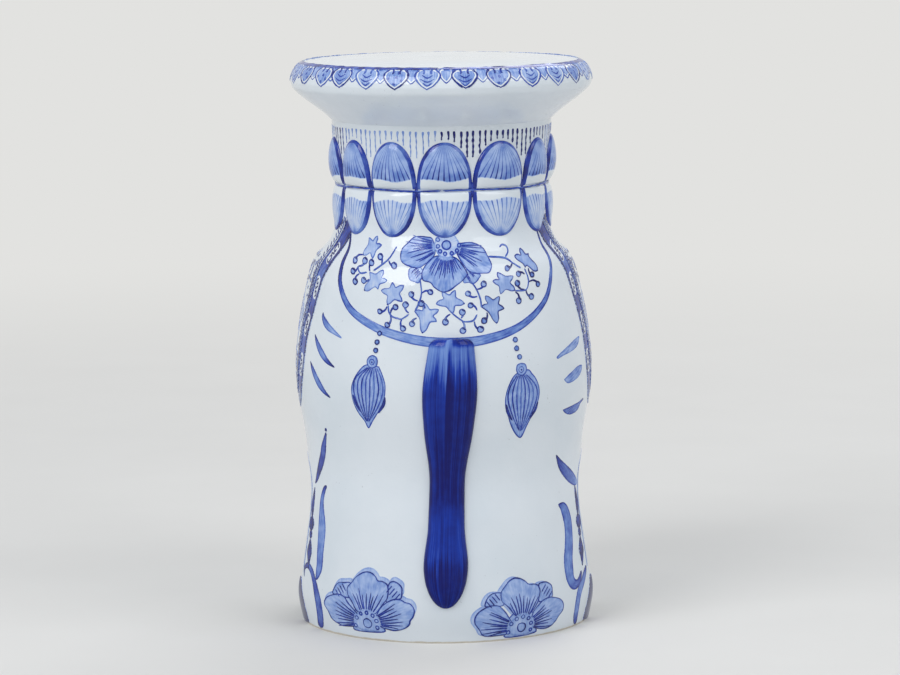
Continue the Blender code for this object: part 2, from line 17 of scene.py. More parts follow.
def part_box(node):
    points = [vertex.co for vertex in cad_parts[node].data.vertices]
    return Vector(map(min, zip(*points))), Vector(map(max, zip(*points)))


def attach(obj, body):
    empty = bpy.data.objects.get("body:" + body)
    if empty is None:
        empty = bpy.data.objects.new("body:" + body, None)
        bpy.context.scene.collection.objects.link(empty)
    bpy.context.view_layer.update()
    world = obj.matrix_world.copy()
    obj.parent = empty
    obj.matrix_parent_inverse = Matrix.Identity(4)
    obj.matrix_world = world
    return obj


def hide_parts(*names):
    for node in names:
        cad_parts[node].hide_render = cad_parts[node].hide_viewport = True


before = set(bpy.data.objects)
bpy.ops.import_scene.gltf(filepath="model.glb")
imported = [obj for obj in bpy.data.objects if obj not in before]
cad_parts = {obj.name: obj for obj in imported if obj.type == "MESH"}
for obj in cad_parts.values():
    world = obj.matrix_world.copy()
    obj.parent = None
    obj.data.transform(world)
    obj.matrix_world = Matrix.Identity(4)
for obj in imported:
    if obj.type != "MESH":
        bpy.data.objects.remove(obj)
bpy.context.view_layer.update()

bl_info = {
    "name": "Elephant Garden Stool Glaze",
    "version": (1, 0, 0),
    "blender": (4, 5, 0),
    "location": "3D View > Sidebar > Stool",
    "description": "Glazed and painted surfaces of an elephant garden stool",
    "category": "Object",
}

AXIS_Y = 0.5 * (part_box("seat_cap")[0][1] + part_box("seat_cap")[1][1])

# Body: (height, outer radius) up its outline, the cast wall and the draw towards the chest
BODY_KNOTS = (
    (0.0, 0.1180),
    (0.028, 0.1228),
    (0.095, 0.1163),
    (0.132, 0.1118),
    (0.205, 0.1203),
    (0.279, 0.1097),
    (0.295, 0.1040),
    (0.312, 0.0905),
    (0.328, 0.0860),
    (0.357, 0.0860),
)
WALL = 0.007
CHEST_DEPTH = 0.010
BELLY_HEIGHT, BELLY_RADIUS = BODY_KNOTS[4]
BACK_HEIGHT = BODY_KNOTS[5][0]
COLLAR_HEIGHT, COLLAR_RADIUS = BODY_KNOTS[8]
BODY_HEIGHT = BODY_KNOTS[9][0]

# Arch between the legs
ARCH_TOP = 0.128
ARCH_HALF_WIDTH = 0.036
ARCH_FOOT_HALF_WIDTH = 0.030
ARCH_FLARE_HEIGHT = 0.070
ARCH_LIP = 0.005

# Neck and seat
NECK_RADIUS = 0.0888
SEAT_FOOT = 0.4071
SEAT_UNDER = ((0.0, 0.0888), (0.0045, 0.0935), (0.0228, 0.1166), (0.0273, 0.1206), (0.0318, 0.1218))
SEAT_EDGE = 0.0470
SEAT_TOP_RADIUS = 0.1108
SEAT_FLAT_RADIUS = 0.050
SEAT_CROWN = 0.0030
SHOULDER_ROUNDNESS = 1.75
SEAT_PLATE = 0.009

# Lotus petals round the collar and the neck
REAR_PETAL_EDGES = (-64.5, -40.3, -13.4, 16.1, 47.6, 72.6)
FRONT_PETALS = 8
PETAL_SHARE = 0.997
PETAL_POWER = 2.3
PETAL_STEPS = 41
PILLOW_POWER = 0.6
PILLOW_TOP, PILLOW_BOTTOM = 0.0001, 0.0006
PETAL_LINE = 0.3562
LOWER_PETAL_TIP = 0.3190
UPPER_PETAL_TIP = 0.3945
TURN_STEPS = 240


def smoothstep(t):
    t = np.clip(t, 0.0, 1.0)
    return t * t * (3.0 - 2.0 * t)


def curve_through(knots):
    """Smooth function through (place, value) knots that never passes its neighbours.

    Each stretch is a cubic whose end slopes are weighted harmonic means of the rises beside it,
    or zero where the rise turns over.
    """
    places, values = np.array(knots, float).T
    steps = np.diff(places)
    rises = np.diff(values) / steps
    before, after = rises[:-1], rises[1:]
    near, far = 2.0 * steps[1:] + steps[:-1], steps[1:] + 2.0 * steps[:-1]
    rising = before * after > 0.0
    safe_before, safe_after = np.where(rising, before, 1.0), np.where(rising, after, 1.0)
    inner = np.where(rising, (near + far) / (near / safe_before + far / safe_after), 0.0)
    slopes = np.concatenate(([rises[0]], inner, [rises[-1]]))

    def value_at(place):
        place = np.clip(place, places[0], places[-1])
        i = np.clip(np.searchsorted(places, place, side="right") - 1, 0, len(steps) - 1)
        t = (place - places[i]) / steps[i]
        between = values[i] + (values[i + 1] - values[i]) * t * t * (3.0 - 2.0 * t)
        lead_in = slopes[i] * steps[i] * t * (1.0 - t) ** 2
        return between + lead_in - slopes[i + 1] * steps[i] * t * t * (1.0 - t)

    return value_at


def curve_over(values):
    """Smooth function through values at the whole numbers from 0."""
    return curve_through(list(enumerate(values)))


body_radius = curve_through(BODY_KNOTS)
neck_radius = curve_through(((BODY_HEIGHT, COLLAR_RADIUS), (SEAT_FOOT, NECK_RADIUS)))


def chest_stretch(height):
    """How much longer the body is towards the chest than towards the rump, at a height."""
    fade = smoothstep((COLLAR_HEIGHT - height) / (COLLAR_HEIGHT - BELLY_HEIGHT))
    return 1.0 + CHEST_DEPTH / BELLY_RADIUS * fade


def chest_y(height):
    return body_radius(height) * chest_stretch(height)


def round_axis(radius, angle, height):
    """Points at a radius and a height, an angle round the axis from the middle of the rump."""
    turn = np.radians(angle)
    return np.stack(np.broadcast_arrays(radius * np.sin(turn), -radius * np.cos(turn), height), axis=-1)


def skin(angle, height, lift):
    """Points that lie lift outside the body's skin: a turned outline, its front half drawn out."""
    points = round_axis(body_radius(height) + lift, angle, height)
    y = points[..., 1]
    points[..., 1] = np.where(y > 0.0, y * chest_stretch(height), y)
    return points


def neck_skin(angle, height, lift):
    """Points that lie lift outside the neck between the body and the seat."""
    return round_axis(neck_radius(height) + lift, angle, height)


def grid_faces(rows, columns, first):
    """Corner numbers of the quads of a grid of rows by columns points."""
    corner = first + np.arange((rows - 1) * columns).reshape(rows - 1, columns)[:, :-1].ravel()
    return np.stack((corner, corner + 1, corner + columns + 1, corner + columns), axis=1)


def add_piece(name, grids, material, attributes=None, uv=None, replaced=(), sharp=35.0):
    """One closed mesh from grids of points that share their borders.

    The grids' quads are joined where their points coincide, and turned to face outwards. The
    attributes and the UV map give one value for each grid point, grid after grid.
    """
    points = np.concatenate([grid.reshape(-1, 3) for grid in grids]) + (0.0, AXIS_Y, 0.0)
    firsts = np.cumsum([0] + [grid.shape[0] * grid.shape[1] for grid in grids])
    faces = np.concatenate([grid_faces(*grid.shape[:2], first) for grid, first in zip(grids, firsts)])
    mesh = bpy.data.meshes.new(name)
    mesh.vertices.add(len(points))
    mesh.vertices.foreach_set("co", points.astype(np.float32).ravel())
    mesh.loops.add(faces.size)
    mesh.loops.foreach_set("vertex_index", faces.astype(np.int32).ravel())
    mesh.polygons.add(len(faces))
    mesh.polygons.foreach_set("loop_start", np.arange(0, faces.size, 4, dtype=np.int32))
    mesh.update(calc_edges=True)
    for key, values in (attributes or {}).items():
        layer = mesh.attributes.new(key, "FLOAT", "POINT")
        layer.data.foreach_set("value", np.asarray(values, np.float32).ravel())
    if uv is not None:
        layer = mesh.uv_layers.new(name="Strokes")
        layer.data.foreach_set("uv", uv.reshape(-1, 2)[faces.ravel()].astype(np.float32).ravel())
    work = bmesh.new()
    work.from_mesh(mesh)
    bmesh.ops.remove_doubles(work, verts=work.verts, dist=1e-6)
    bmesh.ops.dissolve_degenerate(work, edges=work.edges, dist=1e-7)
    bmesh.ops.recalc_face_normals(work, faces=work.faces)
    work.to_mesh(mesh)
    work.free()
    mesh.shade_smooth()
    mesh.set_sharp_from_angle(angle=math.radians(sharp))
    mesh.materials.append(material)
    piece = bpy.data.objects.new(name, mesh)
    bpy.context.scene.collection.objects.link(piece)
    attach(piece, "root")
    if replaced:
        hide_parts(*replaced)


def turned_grid(radii, heights):
    """A profile turned once round the axis. The seam's two columns coincide."""
    angles = np.linspace(0.0, 360.0, TURN_STEPS + 1)
    angles[-1] = 0.0
    return round_axis(np.asarray(radii)[:, None], angles, np.asarray(heights)[:, None])


def closed_loft(rings):
    """Rings of points as a grid closed round each ring, with both ends drawn in to their middles."""
    ends = [rings[end].mean(axis=0) + np.zeros_like(rings[:1]) for end in (0, -1)]
    rings = np.concatenate((ends[0], rings, ends[1]))
    return np.concatenate((rings, rings[:, :1]), axis=1)


# Materials


def srgb(red, green, blue):
    """A colour given in the 0 to 255 steps of a screen, as linear light."""
    share = np.array((red, green, blue), float) / 255.0
    linear = np.where(share <= 0.04045, share / 12.92, ((share + 0.055) / 1.055) ** 2.4)
    return tuple(float(value) for value in linear)


class Flow:
    """A number on its way through a material. Python's operators add the Math nodes."""

    def __init__(self, recipe, socket):
        self.recipe = recipe
        self.socket = socket

    def maths(self, operation, *values):
        return self.recipe.node("ShaderNodeMath", {"operation": operation}, dict(enumerate(values)))

    def __add__(self, other):
        return self.maths("ADD", self, other)

    def __sub__(self, other):
        return self.maths("SUBTRACT", self, other)

    def __rsub__(self, other):
        return self.maths("SUBTRACT", other, self)

    def __mul__(self, other):
        return self.maths("MULTIPLY", self, other)

    def __truediv__(self, other):
        return self.maths("DIVIDE", self, other)

    def __pow__(self, other):
        return self.maths("POWER", self, other)

    def __abs__(self):
        return self.maths("ABSOLUTE", self)

    def most(self, other):
        return self.maths("MAXIMUM", self, other)

    def sine(self):
        return self.maths("SINE", self)

    def rise(self, start, end):
        """From 0 at start to 1 at end, eased at both. A start above the end gives a fall."""
        inputs = {"Value": self, "From Min": min(start, end), "From Max": max(start, end)}
        inputs |= {"To Min": float(start > end), "To Max": float(start < end)}
        return self.recipe.node("ShaderNodeMapRange", {"interpolation_type": "SMOOTHSTEP"}, inputs)

    __radd__ = __add__
    __rmul__ = __mul__


class Recipe:
    """One material in the making."""

    def __init__(self, name):
        self.material = bpy.data.materials.new(name)
        self.material.use_nodes = True
        self.tree = self.material.node_tree
        self.shader = self.tree.nodes["Principled BSDF"]

    def fill(self, node, inputs):
        for key, value in inputs.items():
            if isinstance(value, Flow):
                self.tree.links.new(value.socket, node.inputs[key])
            else:
                node.inputs[key].default_value = value

    def node(self, kind, settings=None, inputs=None, output=0):
        """A new node: its settings first, then its inputs' values or links. Gives one output."""
        node = self.tree.nodes.new(kind)
        for key, value in (settings or {}).items():
            if key == "stops":
                ramp = node.color_ramp
                while len(ramp.elements) < len(value):
                    ramp.elements.new(1.0)
                for element, (place, colour) in zip(ramp.elements, value):
                    element.position = place
                    element.color = (*colour, 1.0)
            else:
                setattr(node, key, value)
        self.fill(node, inputs or {})
        return Flow(self, node.outputs[output])

    def place(self):
        """The point on the stool, in metres."""
        return self.node("ShaderNodeTexCoord", output="Object")

    def noise(self, scale, detail=2.0, vector=None):
        """Soft cloudy noise from 0 to 1, on the point or another vector, as many clouds to a metre."""
        inputs = {"Vector": vector or self.place(), "Scale": scale, "Detail": detail}
        return self.node("ShaderNodeTexNoise", inputs=inputs)

    def attribute(self, name):
        return self.node("ShaderNodeAttribute", {"attribute_name": name}, output="Fac")

    def strokes(self):
        """The piece's own map: across the brush and along it."""
        return self.node("ShaderNodeUVMap", {"uv_map": "Strokes"})

    def streaks(self, scale, stretch, detail=2.0):
        """Noise on the piece's own map, drawn out along the brush."""
        inputs = {"Vector": self.strokes(), "Scale": (1.0, stretch, 1.0)}
        return self.noise(scale, detail, self.node("ShaderNodeMapping", inputs=inputs))

    def parts(self, vector):
        split = self.node("ShaderNodeSeparateXYZ", inputs={0: vector}).socket.node
        return [Flow(self, output) for output in split.outputs]

    def mix(self, share, first, second):
        """The first colour going over into the second as the share grows."""
        first, second = (end if isinstance(end, Flow) else (*end, 1.0) for end in (first, second))
        return self.node("ShaderNodeMix", {"data_type": "RGBA"}, {0: share, 6: first, 7: second}, output=2)


def palette():
    return bpy.context.scene.stool_colours


def glaze_white(recipe):
    """White under a clear glaze: cool, a little greener where the glaze lies thick."""
    thick = recipe.noise(14.0, 3.0).rise(0.35, 0.75)
    toned = recipe.mix(thick, palette().white, palette().thick_glaze)
    specks = recipe.noise(420.0, 1.0).rise(0.735, 0.775) * recipe.noise(35.0).rise(0.45, 0.65)
    return recipe.mix(specks * 0.35, toned, palette().speck)


def cobalt_stops():
    """Colours of the brushwork, from the bare glaze to the heaviest pooled cobalt."""
    names = ("white", "pale_wash", "wash", "cobalt", "navy")
    return [(density, getattr(palette(), name)) for density, name in zip((0.0, 0.30, 0.55, 0.80, 1.0), names)]


def finish(recipe, colour, roughness=None, gloss=0.5):
    """Glassy glaze over a colour, with the faint waves and pinholes of a dipped surface."""
    waves = recipe.noise(38.0) * 0.8 + recipe.noise(240.0, 1.0) * 0.12
    relief = {"Height": waves, "Strength": 0.5, "Distance": 0.0012}
    inputs = {
        "Base Color": colour,
        "Normal": recipe.node("ShaderNodeBump", inputs=relief),
        "Roughness": roughness or recipe.noise(60.0).rise(0.3, 0.8) * 0.07 + 0.07,
        "Specular IOR Level": gloss,
    }
    recipe.fill(recipe.shader, inputs)
    return recipe.material


def plain_glaze():
    """White glaze that gives way, near the ground, to a darker, warmer and rougher band, mottled at random
    between two colours.
    """
    recipe = Recipe("plain_glaze")
    height = recipe.parts(recipe.place())[2]
    # The darker band along the bottom edge, about 1 to 2 mm high, its top wavering with noise.
    bare = (height + recipe.noise(90.0) * 0.0016).rise(0.0026, 0.0016)
    foot_band_colour = recipe.mix(recipe.noise(600.0, 3.0), palette().foot_band_colour, palette().foot_band_dark)
    rough = bare * 0.7 + recipe.noise(60.0).rise(0.3, 0.8) * 0.06 + 0.07
    return finish(recipe, recipe.mix(bare, glaze_white(recipe), foot_band_colour), rough)


def painted(recipe, density, cloudy=0.20):
    """Cobalt of a density from 0 to 1 on the white, more or less cloudy."""
    cloud = recipe.noise(130.0, 3.0).rise(0.2, 0.8) * cloudy - 0.5 * cloudy
    body = density + density.rise(0.02, 0.25) * cloud
    cobalt = recipe.node("ShaderNodeValToRGB", {"stops": cobalt_stops()}, {0: body})
    return recipe.mix(density.rise(0.0, 0.12), glaze_white(recipe), cobalt)


def petal_glaze(name, load, foot_load, tip_load):
    """Lotus petal: outline, veins fanned from the tip in a wash, and a bare band by the line.

    The map runs across the petal and from the line to the tip, and edge is the distance from the
    petal's outline in millimetres. A vein keeps its share of a width that shrinks to the tip
    faster than the petal's own. The veins and the wash pool where the brush was lifted, at the
    scalloped end of the wash.
    """
    recipe = Recipe(name)
    across, along, _ = recipe.parts(recipe.strokes())
    edge, luck = recipe.attribute("edge"), recipe.attribute("luck")
    place = across * 2.0 - 1.0
    side = abs(place)
    fanned = place * (1.0 - along**PETAL_POWER).most(0.0) ** 0.5 / (1.0 - along**1.3 * 0.93)
    ray = ((fanned * 4.6 + luck * 7.0 + recipe.noise(45.0) * 0.35) * math.tau).sine() * 0.5 + 0.5
    scallops = (across * 9.0 + luck * 40.0).sine() * 0.022 + recipe.streaks(12.0, 0.05, 1.0) * 0.04
    in_wash = along - (luck * 0.05 + 0.13 + scallops + side * side * 0.05)
    low = in_wash.rise(0.45, 0.0)
    reach = recipe.streaks(4.0, 0.15, 0.0).rise(0.3, 0.7) * 0.4 + 0.6
    vein = (ray + low * 0.08).rise(0.83, 1.02) * reach * (low * 0.25 + 0.75)
    vein = vein * (1.12 - abs(fanned)).rise(0.0, 0.12)
    foot = low * recipe.noise(70.0).rise(0.3, 0.75) * foot_load
    top = (along - side * 0.25).rise(0.72, 0.95) * tip_load
    brushed = (recipe.streaks(7.0, 0.12) - 0.5) * 0.20 + (recipe.noise(90.0) - 0.5) * 0.08
    inside = in_wash.rise(-0.012, 0.03)
    wash = inside * (foot + vein * 0.52 + brushed + top + load)
    width = side.rise(0.35, 0.95) + (recipe.noise(160.0) - 0.5) * 1.2 + 2.2
    line = (edge - width).rise(0.28, -0.28)
    halo = (edge - width * 1.9).rise(0.5, -0.5) * 0.40
    heavy = recipe.noise(45.0).rise(0.3, 0.7) * 0.22 + side.rise(0.5, 1.0) * 0.08 + 0.62
    return finish(recipe, painted(recipe, wash.most(halo * inside).most(line * heavy)))


def line_glaze(name, weight, pool=0.12, pool_width=0.9, streaks=0.42):
    """A single stroke of the brush: full in the middle and pooled along its sides.

    Tone is the load of the brush, and edge the distance from the stroke's side in millimetres.
    """
    recipe = Recipe(name)
    edge, tone = recipe.attribute("edge"), recipe.attribute("tone")
    hairs = recipe.streaks(9.0, 0.12)
    feather = (edge + recipe.noise(700.0, 1.0) * 0.22 - 0.06).rise(-0.02, 0.12)
    pooled = edge.rise(pool_width, 0.1) * pool
    density = (tone * weight + (hairs - 0.5) * streaks + pooled).most(0.05) * feather
    return finish(recipe, painted(recipe, density))


def leaf_glaze(name, outline, fill, width=0.75, gap=0.0, streaks=0.22):
    """An outlined shape: a dark line round a wash, with or without a white band between them.

    Edge is the distance from the outline in millimetres, and tone darkens the whole shape.
    """
    recipe = Recipe(name)
    edge, tone = recipe.attribute("edge"), recipe.attribute("tone")
    line_width = recipe.noise(90.0).rise(0.25, 0.75) * width * 0.9 + width * 0.55
    line = (edge - line_width).rise(0.14, -0.14)
    veins = recipe.streaks(11.0, 0.10).rise(0.3, 0.7) - 0.5
    inside = (edge - line_width - gap).rise(-0.12, 0.16) if gap else 1.0
    rim = (edge - line_width - gap).rise(1.0, 0.0) * 0.10
    wash = (tone * fill + veins * streaks + rim).most(0.04) * inside
    feather = (edge + recipe.noise(700.0, 1.0) * 0.2 - 0.05).rise(-0.02, 0.10)
    return finish(recipe, painted(recipe, wash.most(line * outline * tone) * feather))


def reserve_glaze():
    """White left free inside a painted band."""
    recipe = Recipe("reserve_glaze")
    return finish(recipe, glaze_white(recipe))


def tail_glaze():
    """Deep cobalt laid on in long strokes that follow the tail, paler where the brush ran dry."""
    recipe = Recipe("tail_glaze")
    broad = recipe.streaks(11.0, 0.045) - 0.5
    hairs = recipe.streaks(38.0, 0.03) - 0.5
    across, along, _ = recipe.parts(recipe.strokes())
    side = abs(across * 2.0 - 1.0)
    uneven = along + broad * 0.5 + hairs * 0.2
    start = uneven.rise(0.42, 0.06) * 0.34
    low = uneven.rise(1.25, 1.45) * uneven.rise(1.86, 1.70) * 0.13
    right_side = across.rise(0.55, 0.62) * uneven.rise(1.1, 0.5) * 0.10
    groove = abs(across - 0.545).rise(0.045, 0.0) * along.rise(0.03, 0.12) * along.rise(1.3, 0.9) * 0.22
    lobes = along.rise(0.075, 0.02) * abs(across - 0.56).rise(0.05, 0.12) * 0.30
    ends = side.rise(0.80, 1.0) * 0.10
    density = broad * 0.34 + hairs * 0.30 + groove + lobes + ends + 0.97 - start - low - right_side
    return finish(recipe, painted(recipe, density.most(0.42), 0.05), gloss=0.25)


# Shapes of the body


def arch_half_width(height):
    flare = smoothstep(height / ARCH_FLARE_HEIGHT)
    return ARCH_FOOT_HALF_WIDTH + (ARCH_HALF_WIDTH - ARCH_FOOT_HALF_WIDTH) * flare


def arch_side(offset):
    """(distance from the middle, height) up one leg of the arch moved out by an offset, to its top."""
    spring = ARCH_TOP - ARCH_HALF_WIDTH
    heights = np.linspace(0.0, spring, 34, endpoint=False)
    turn = np.linspace(0.0, 0.5 * math.pi, 24)
    reach = ARCH_HALF_WIDTH + offset
    away = np.concatenate((arch_half_width(heights) + offset, reach * np.cos(turn)))
    away[-1] = 0.0
    return away, np.concatenate((heights, spring + reach * np.sin(turn)))


def arch_whole(offset):
    """(y, height) of the whole arch, up the hind leg and down the fore leg."""
    away, heights = arch_side(offset)
    return np.concatenate((-away, away[-2::-1])), np.concatenate((heights, heights[-2::-1]))


def reach_across(y, height, inset):
    """How far the skin, or the skin moved in by an inset, lies from the middle at a y and a height."""
    turned = np.where(y > 0.0, y / chest_stretch(height), y)
    return np.sqrt((body_radius(height) - inset) ** 2 - turned**2)


def half_skin(side, inset, arch_offset, rows_above, columns):
    """Skin of the hind (-1) or fore (+1) half, cut off at the arch and whole above it."""
    away, heights = arch_side(arch_offset)
    above = np.linspace(heights[-1], BODY_HEIGHT, rows_above + 1)[1:]
    heights = np.concatenate((heights, above))
    away = np.concatenate((away, np.zeros(rows_above)))
    radius = body_radius(heights) - inset
    stretch = chest_stretch(heights) if side > 0 else np.ones_like(heights)
    extent = np.arccos(away / (radius * stretch))
    turn = extent[:, None] * np.linspace(-1.0, 1.0, columns + 1)
    x = radius[:, None] * np.sin(turn)
    y = side * (radius * stretch)[:, None] * np.cos(turn)
    y[:, 0] = y[:, -1] = side * away
    reach = reach_across(side * away, heights, inset)
    x[:, 0], x[:, -1] = -reach, reach
    return np.stack((x, y, np.broadcast_to(heights[:, None], x.shape)), axis=-1)


def strip(first, last):
    """A grid of two rows: one line of points, and another of equally many."""
    return np.stack((first, last))


def body_grids():
    """The hollow body: outer and inner skins, the arch's lips, tunnel and vault, and the rims."""
    columns, lip_steps, tunnel_steps = 150, 6, 12
    outer = {side: half_skin(side, 0.0, ARCH_LIP, 90, columns) for side in (-1, 1)}
    inner = {side: half_skin(side, WALL, WALL, 40, columns) for side in (-1, 1)}
    lines = []
    for turn in np.linspace(0.0, 0.5 * math.pi, lip_steps + 1)[::-1]:
        y, z = arch_whole(ARCH_LIP * (1.0 - math.cos(turn)))
        depth = ARCH_LIP * (1.0 - math.sin(turn))
        lines.append(np.stack((-reach_across(y, z, 0.0) + depth, y, z), axis=-1))
    left = np.stack(lines)
    right = left[::-1] * (-1.0, 1.0, 1.0)
    share = np.linspace(0.0, 1.0, tunnel_steps + 1)[1:-1, None, None]
    tunnel = np.concatenate((left, left[-1] + (right[0] - left[-1]) * share, right))
    y, z = arch_whole(WALL)
    reach = reach_across(y, z, WALL)
    vault = np.stack([np.stack((reach * s, y, z), axis=-1) for s in np.linspace(-1.0, 1.0, len(tunnel))])
    grids = [tunnel, vault, strip(tunnel[:, 0], vault[:, 0]), strip(tunnel[:, -1], vault[:, -1])]
    for side in (-1, 1):
        grids += [outer[side], inner[side]]
        grids += [strip(outer[side][end], inner[side][end]) for end in (0, -1)]
    return grids


FLARE_POINTS, SHOULDER_POINTS, TOP_POINTS = 40, 29, 29


def seat_profile():
    """(radius, height) of the seat's outer side, from the neck up over the rim to the middle.

    The flare is a smooth curve, the shoulder a quarter of a squared oval, the crown a shallow bowl.
    """
    widest_height, widest = SEAT_UNDER[-1]
    rise = np.linspace(0.0, widest_height, FLARE_POINTS)
    turn = np.linspace(0.0, 0.5 * math.pi, SHOULDER_POINTS + 1)[1:]
    power = 2.0 / SHOULDER_ROUNDNESS
    shoulder_r = SEAT_TOP_RADIUS + (widest - SEAT_TOP_RADIUS) * np.cos(turn).clip(0.0) ** power
    shoulder_z = widest_height + (SEAT_EDGE - widest_height) * np.sin(turn) ** power
    top_r = np.linspace(SEAT_TOP_RADIUS, 0.0, TOP_POINTS + 1)[1:]
    share = ((top_r - SEAT_FLAT_RADIUS) / (SEAT_TOP_RADIUS - SEAT_FLAT_RADIUS)).clip(0.0)
    top_z = SEAT_EDGE + SEAT_CROWN * (1.0 - share**2)
    radii = np.concatenate((curve_through(SEAT_UNDER)(rise), shoulder_r, top_r))
    return radii, SEAT_FOOT + np.concatenate((rise, shoulder_z, top_z))


def seat_skin(angle, height, lift):
    """Points lift outside the rim's side and shoulder, by height."""
    radii, heights = (values[:FLARE_POINTS + SHOULDER_POINTS] for values in seat_profile())
    slope_r, slope_z = np.gradient(radii), np.gradient(heights)
    size = np.hypot(slope_r, slope_z)
    radius = np.interp(height, heights, radii) + lift * np.interp(height, heights, slope_z / size)
    return round_axis(radius, angle, height - lift * np.interp(height, heights, slope_r / size))


class STOOL_OT_body(bpy.types.Operator):
    """Hollow body with its legs and the arch between them"""

    bl_idname = "stool.body"
    bl_label = "Body"

    def execute(self, context):
        add_piece("glazed_body", body_grids(), plain_glaze(), replaced=("body_shell",))
        return {"FINISHED"}


class STOOL_OT_seat(bpy.types.Operator):
    """Neck and round seat above the collar"""

    bl_idname = "stool.seat"
    bl_label = "Neck and Seat"

    def execute(self, context):
        glaze = plain_glaze()
        heights = np.linspace(BODY_HEIGHT, SEAT_FOOT, 30)
        outer = turned_grid(neck_radius(heights), heights)
        inner = turned_grid(neck_radius(heights) - WALL, heights)
        rims = [strip(outer[end], inner[end]) for end in (0, -1)]
        add_piece("glazed_neck", [outer, inner, *rims], glaze, replaced=("lotus_pedestal",))
        radii, heights = seat_profile()
        outer = turned_grid(radii, heights)
        hollow_r = [radius - WALL for _, radius in SEAT_UNDER[:3]]
        hollow_r += [SEAT_UNDER[4][1] - 1.5 * WALL, SEAT_TOP_RADIUS - WALL, 0.0]
        plate = SEAT_EDGE - SEAT_PLATE
        hollow_z = [0.0, SEAT_UNDER[1][0] + WALL, SEAT_UNDER[3][0], SEAT_UNDER[4][0] + 0.003, plate, plate]
        inner = turned_grid(hollow_r, SEAT_FOOT + np.array(hollow_z))
        grids = [outer, inner, strip(outer[0], inner[0])]
        add_piece("glazed_seat", grids, glaze, replaced=("seat_cap",))
        return {"FINISHED"}


# Lotus petals


def petal_edges():
    """The angles at which one petal meets the next, once round."""
    first, last = REAR_PETAL_EDGES[0], REAR_PETAL_EDGES[-1]
    step = (360.0 - (last - first)) / FRONT_PETALS
    return np.array([*REAR_PETAL_EDGES, *(last + step * n for n in range(1, FRONT_PETALS + 1))])


def outline_distance(points, outline):
    """Distance of each point of a plane from the nearest point of an outline."""
    flat = points.reshape(-1, 2)
    start, end = outline[:-1], outline[1:]
    along = end - start
    size = np.maximum((along**2).sum(axis=1), 1e-14)
    share = ((flat[:, None] - start) * along).sum(axis=2) / size
    nearest = start + share.clip(0.0, 1.0)[..., None] * along
    return np.sqrt(((flat[:, None] - nearest) ** 2).sum(axis=2)).min(axis=1).reshape(points.shape[:-1])


class Sheets:
    """Thin closed sheets gathered into one piece, with a map and values for every point."""

    def __init__(self):
        self.grids, self.maps, self.values = [], [], {}

    def add(self, top, under, uv, borders, **values):
        """Joins a top and an underside along the borders that are picked out of both."""
        fields = [uv, *(np.broadcast_to(value, top.shape[:2]) for value in values.values())]
        parts = [(top, *fields), (under, *fields)]
        for pick in borders:
            repeated = (strip(field[pick], field[pick]) for field in fields)
            parts.append((strip(top[pick], under[pick]), *repeated))
        for grid, mapped, *found in parts:
            self.grids.append(grid)
            self.maps.append(mapped.reshape(-1, 2))
            for name, value in zip(values, found):
                self.values.setdefault(name, []).append(value.ravel())

    def piece(self, name, material):
        values = {key: np.concatenate(parts) for key, parts in self.values.items()}
        uv = np.concatenate(self.maps)
        add_piece(name, self.grids, material, values, uv, sharp=80.0)


FOUR_SIDES = (np.s_[:, 0], np.s_[:, -1], np.s_[0], np.s_[-1])
OUTER_RING = (np.s_[-1],)


def petal_row(surface, line, tip, swell, seed):
    """Domed petals from the line to their tips, on a neck or collar.

    Across, a petal narrows with the square root of one less a power of the way to its tip. It
    stands out as a pillow: one less the square of the place across, raised to a power, times a
    wave along. Its under side sinks a little into the skin.
    """
    petals = Sheets()
    luck = np.random.default_rng(seed)
    edges = petal_edges()
    share = np.linspace(-1.0, 1.0, PETAL_STEPS)
    along = (1.0 - (1.0 - np.linspace(0.0, 1.0, PETAL_STEPS)) ** 1.4)[:, None]
    across = share * np.sqrt((1.0 - along**PETAL_POWER).clip(0.0))
    height = line + (tip - line) * along + 0.0 * across
    bulge = np.sin(math.pi * along**0.85).clip(0.0) ** 0.62
    lift = swell * (1.0 - share**2) ** PILLOW_POWER * bulge
    uv = np.stack(np.broadcast_arrays(0.5 * (share + 1.0), along), axis=-1)
    for left, right in zip(edges, edges[1:]):
        angle = 0.5 * (left + right) + 0.5 * (right - left) * PETAL_SHARE * across
        plane = np.stack((np.radians(angle) * COLLAR_RADIUS, height), axis=-1) * 1000.0
        edge = outline_distance(plane, np.concatenate((plane[:, 0], plane[::-1, -1])))
        top = surface(angle, height, lift + PILLOW_TOP)
        under = surface(angle, height, lift * 0.5 - PILLOW_BOTTOM)
        petals.add(top, under, uv, FOUR_SIDES, edge=edge, luck=luck.random())
    return petals


class STOOL_OT_petals(bpy.types.Operator):
    """Two rows of domed and painted lotus petals, meeting at the line between body and neck"""

    bl_idname = "stool.petals"
    bl_label = "Lotus Petals"

    def execute(self, context):
        sizes = context.scene.stool_sizes
        upper = petal_row(neck_skin, PETAL_LINE + 0.001, UPPER_PETAL_TIP, sizes.upper_petal_swell, 9)
        upper.piece("upper_petals", petal_glaze("upper_petals_glaze", 0.38, 0.26, 0.14))
        lower = petal_row(skin, PETAL_LINE - 0.001, LOWER_PETAL_TIP, sizes.lower_petal_swell, 5)
        lower.piece("lower_petals", petal_glaze("lower_petals_glaze", 0.20, 0.06, 0.42))
        return {"FINISHED"}


# Brushwork

PAINT_LIFT = 0.00010
LAYER_LIFT = 0.00006
PAINT_ROOT = 0.0003
FAN_SPREAD = 1.6


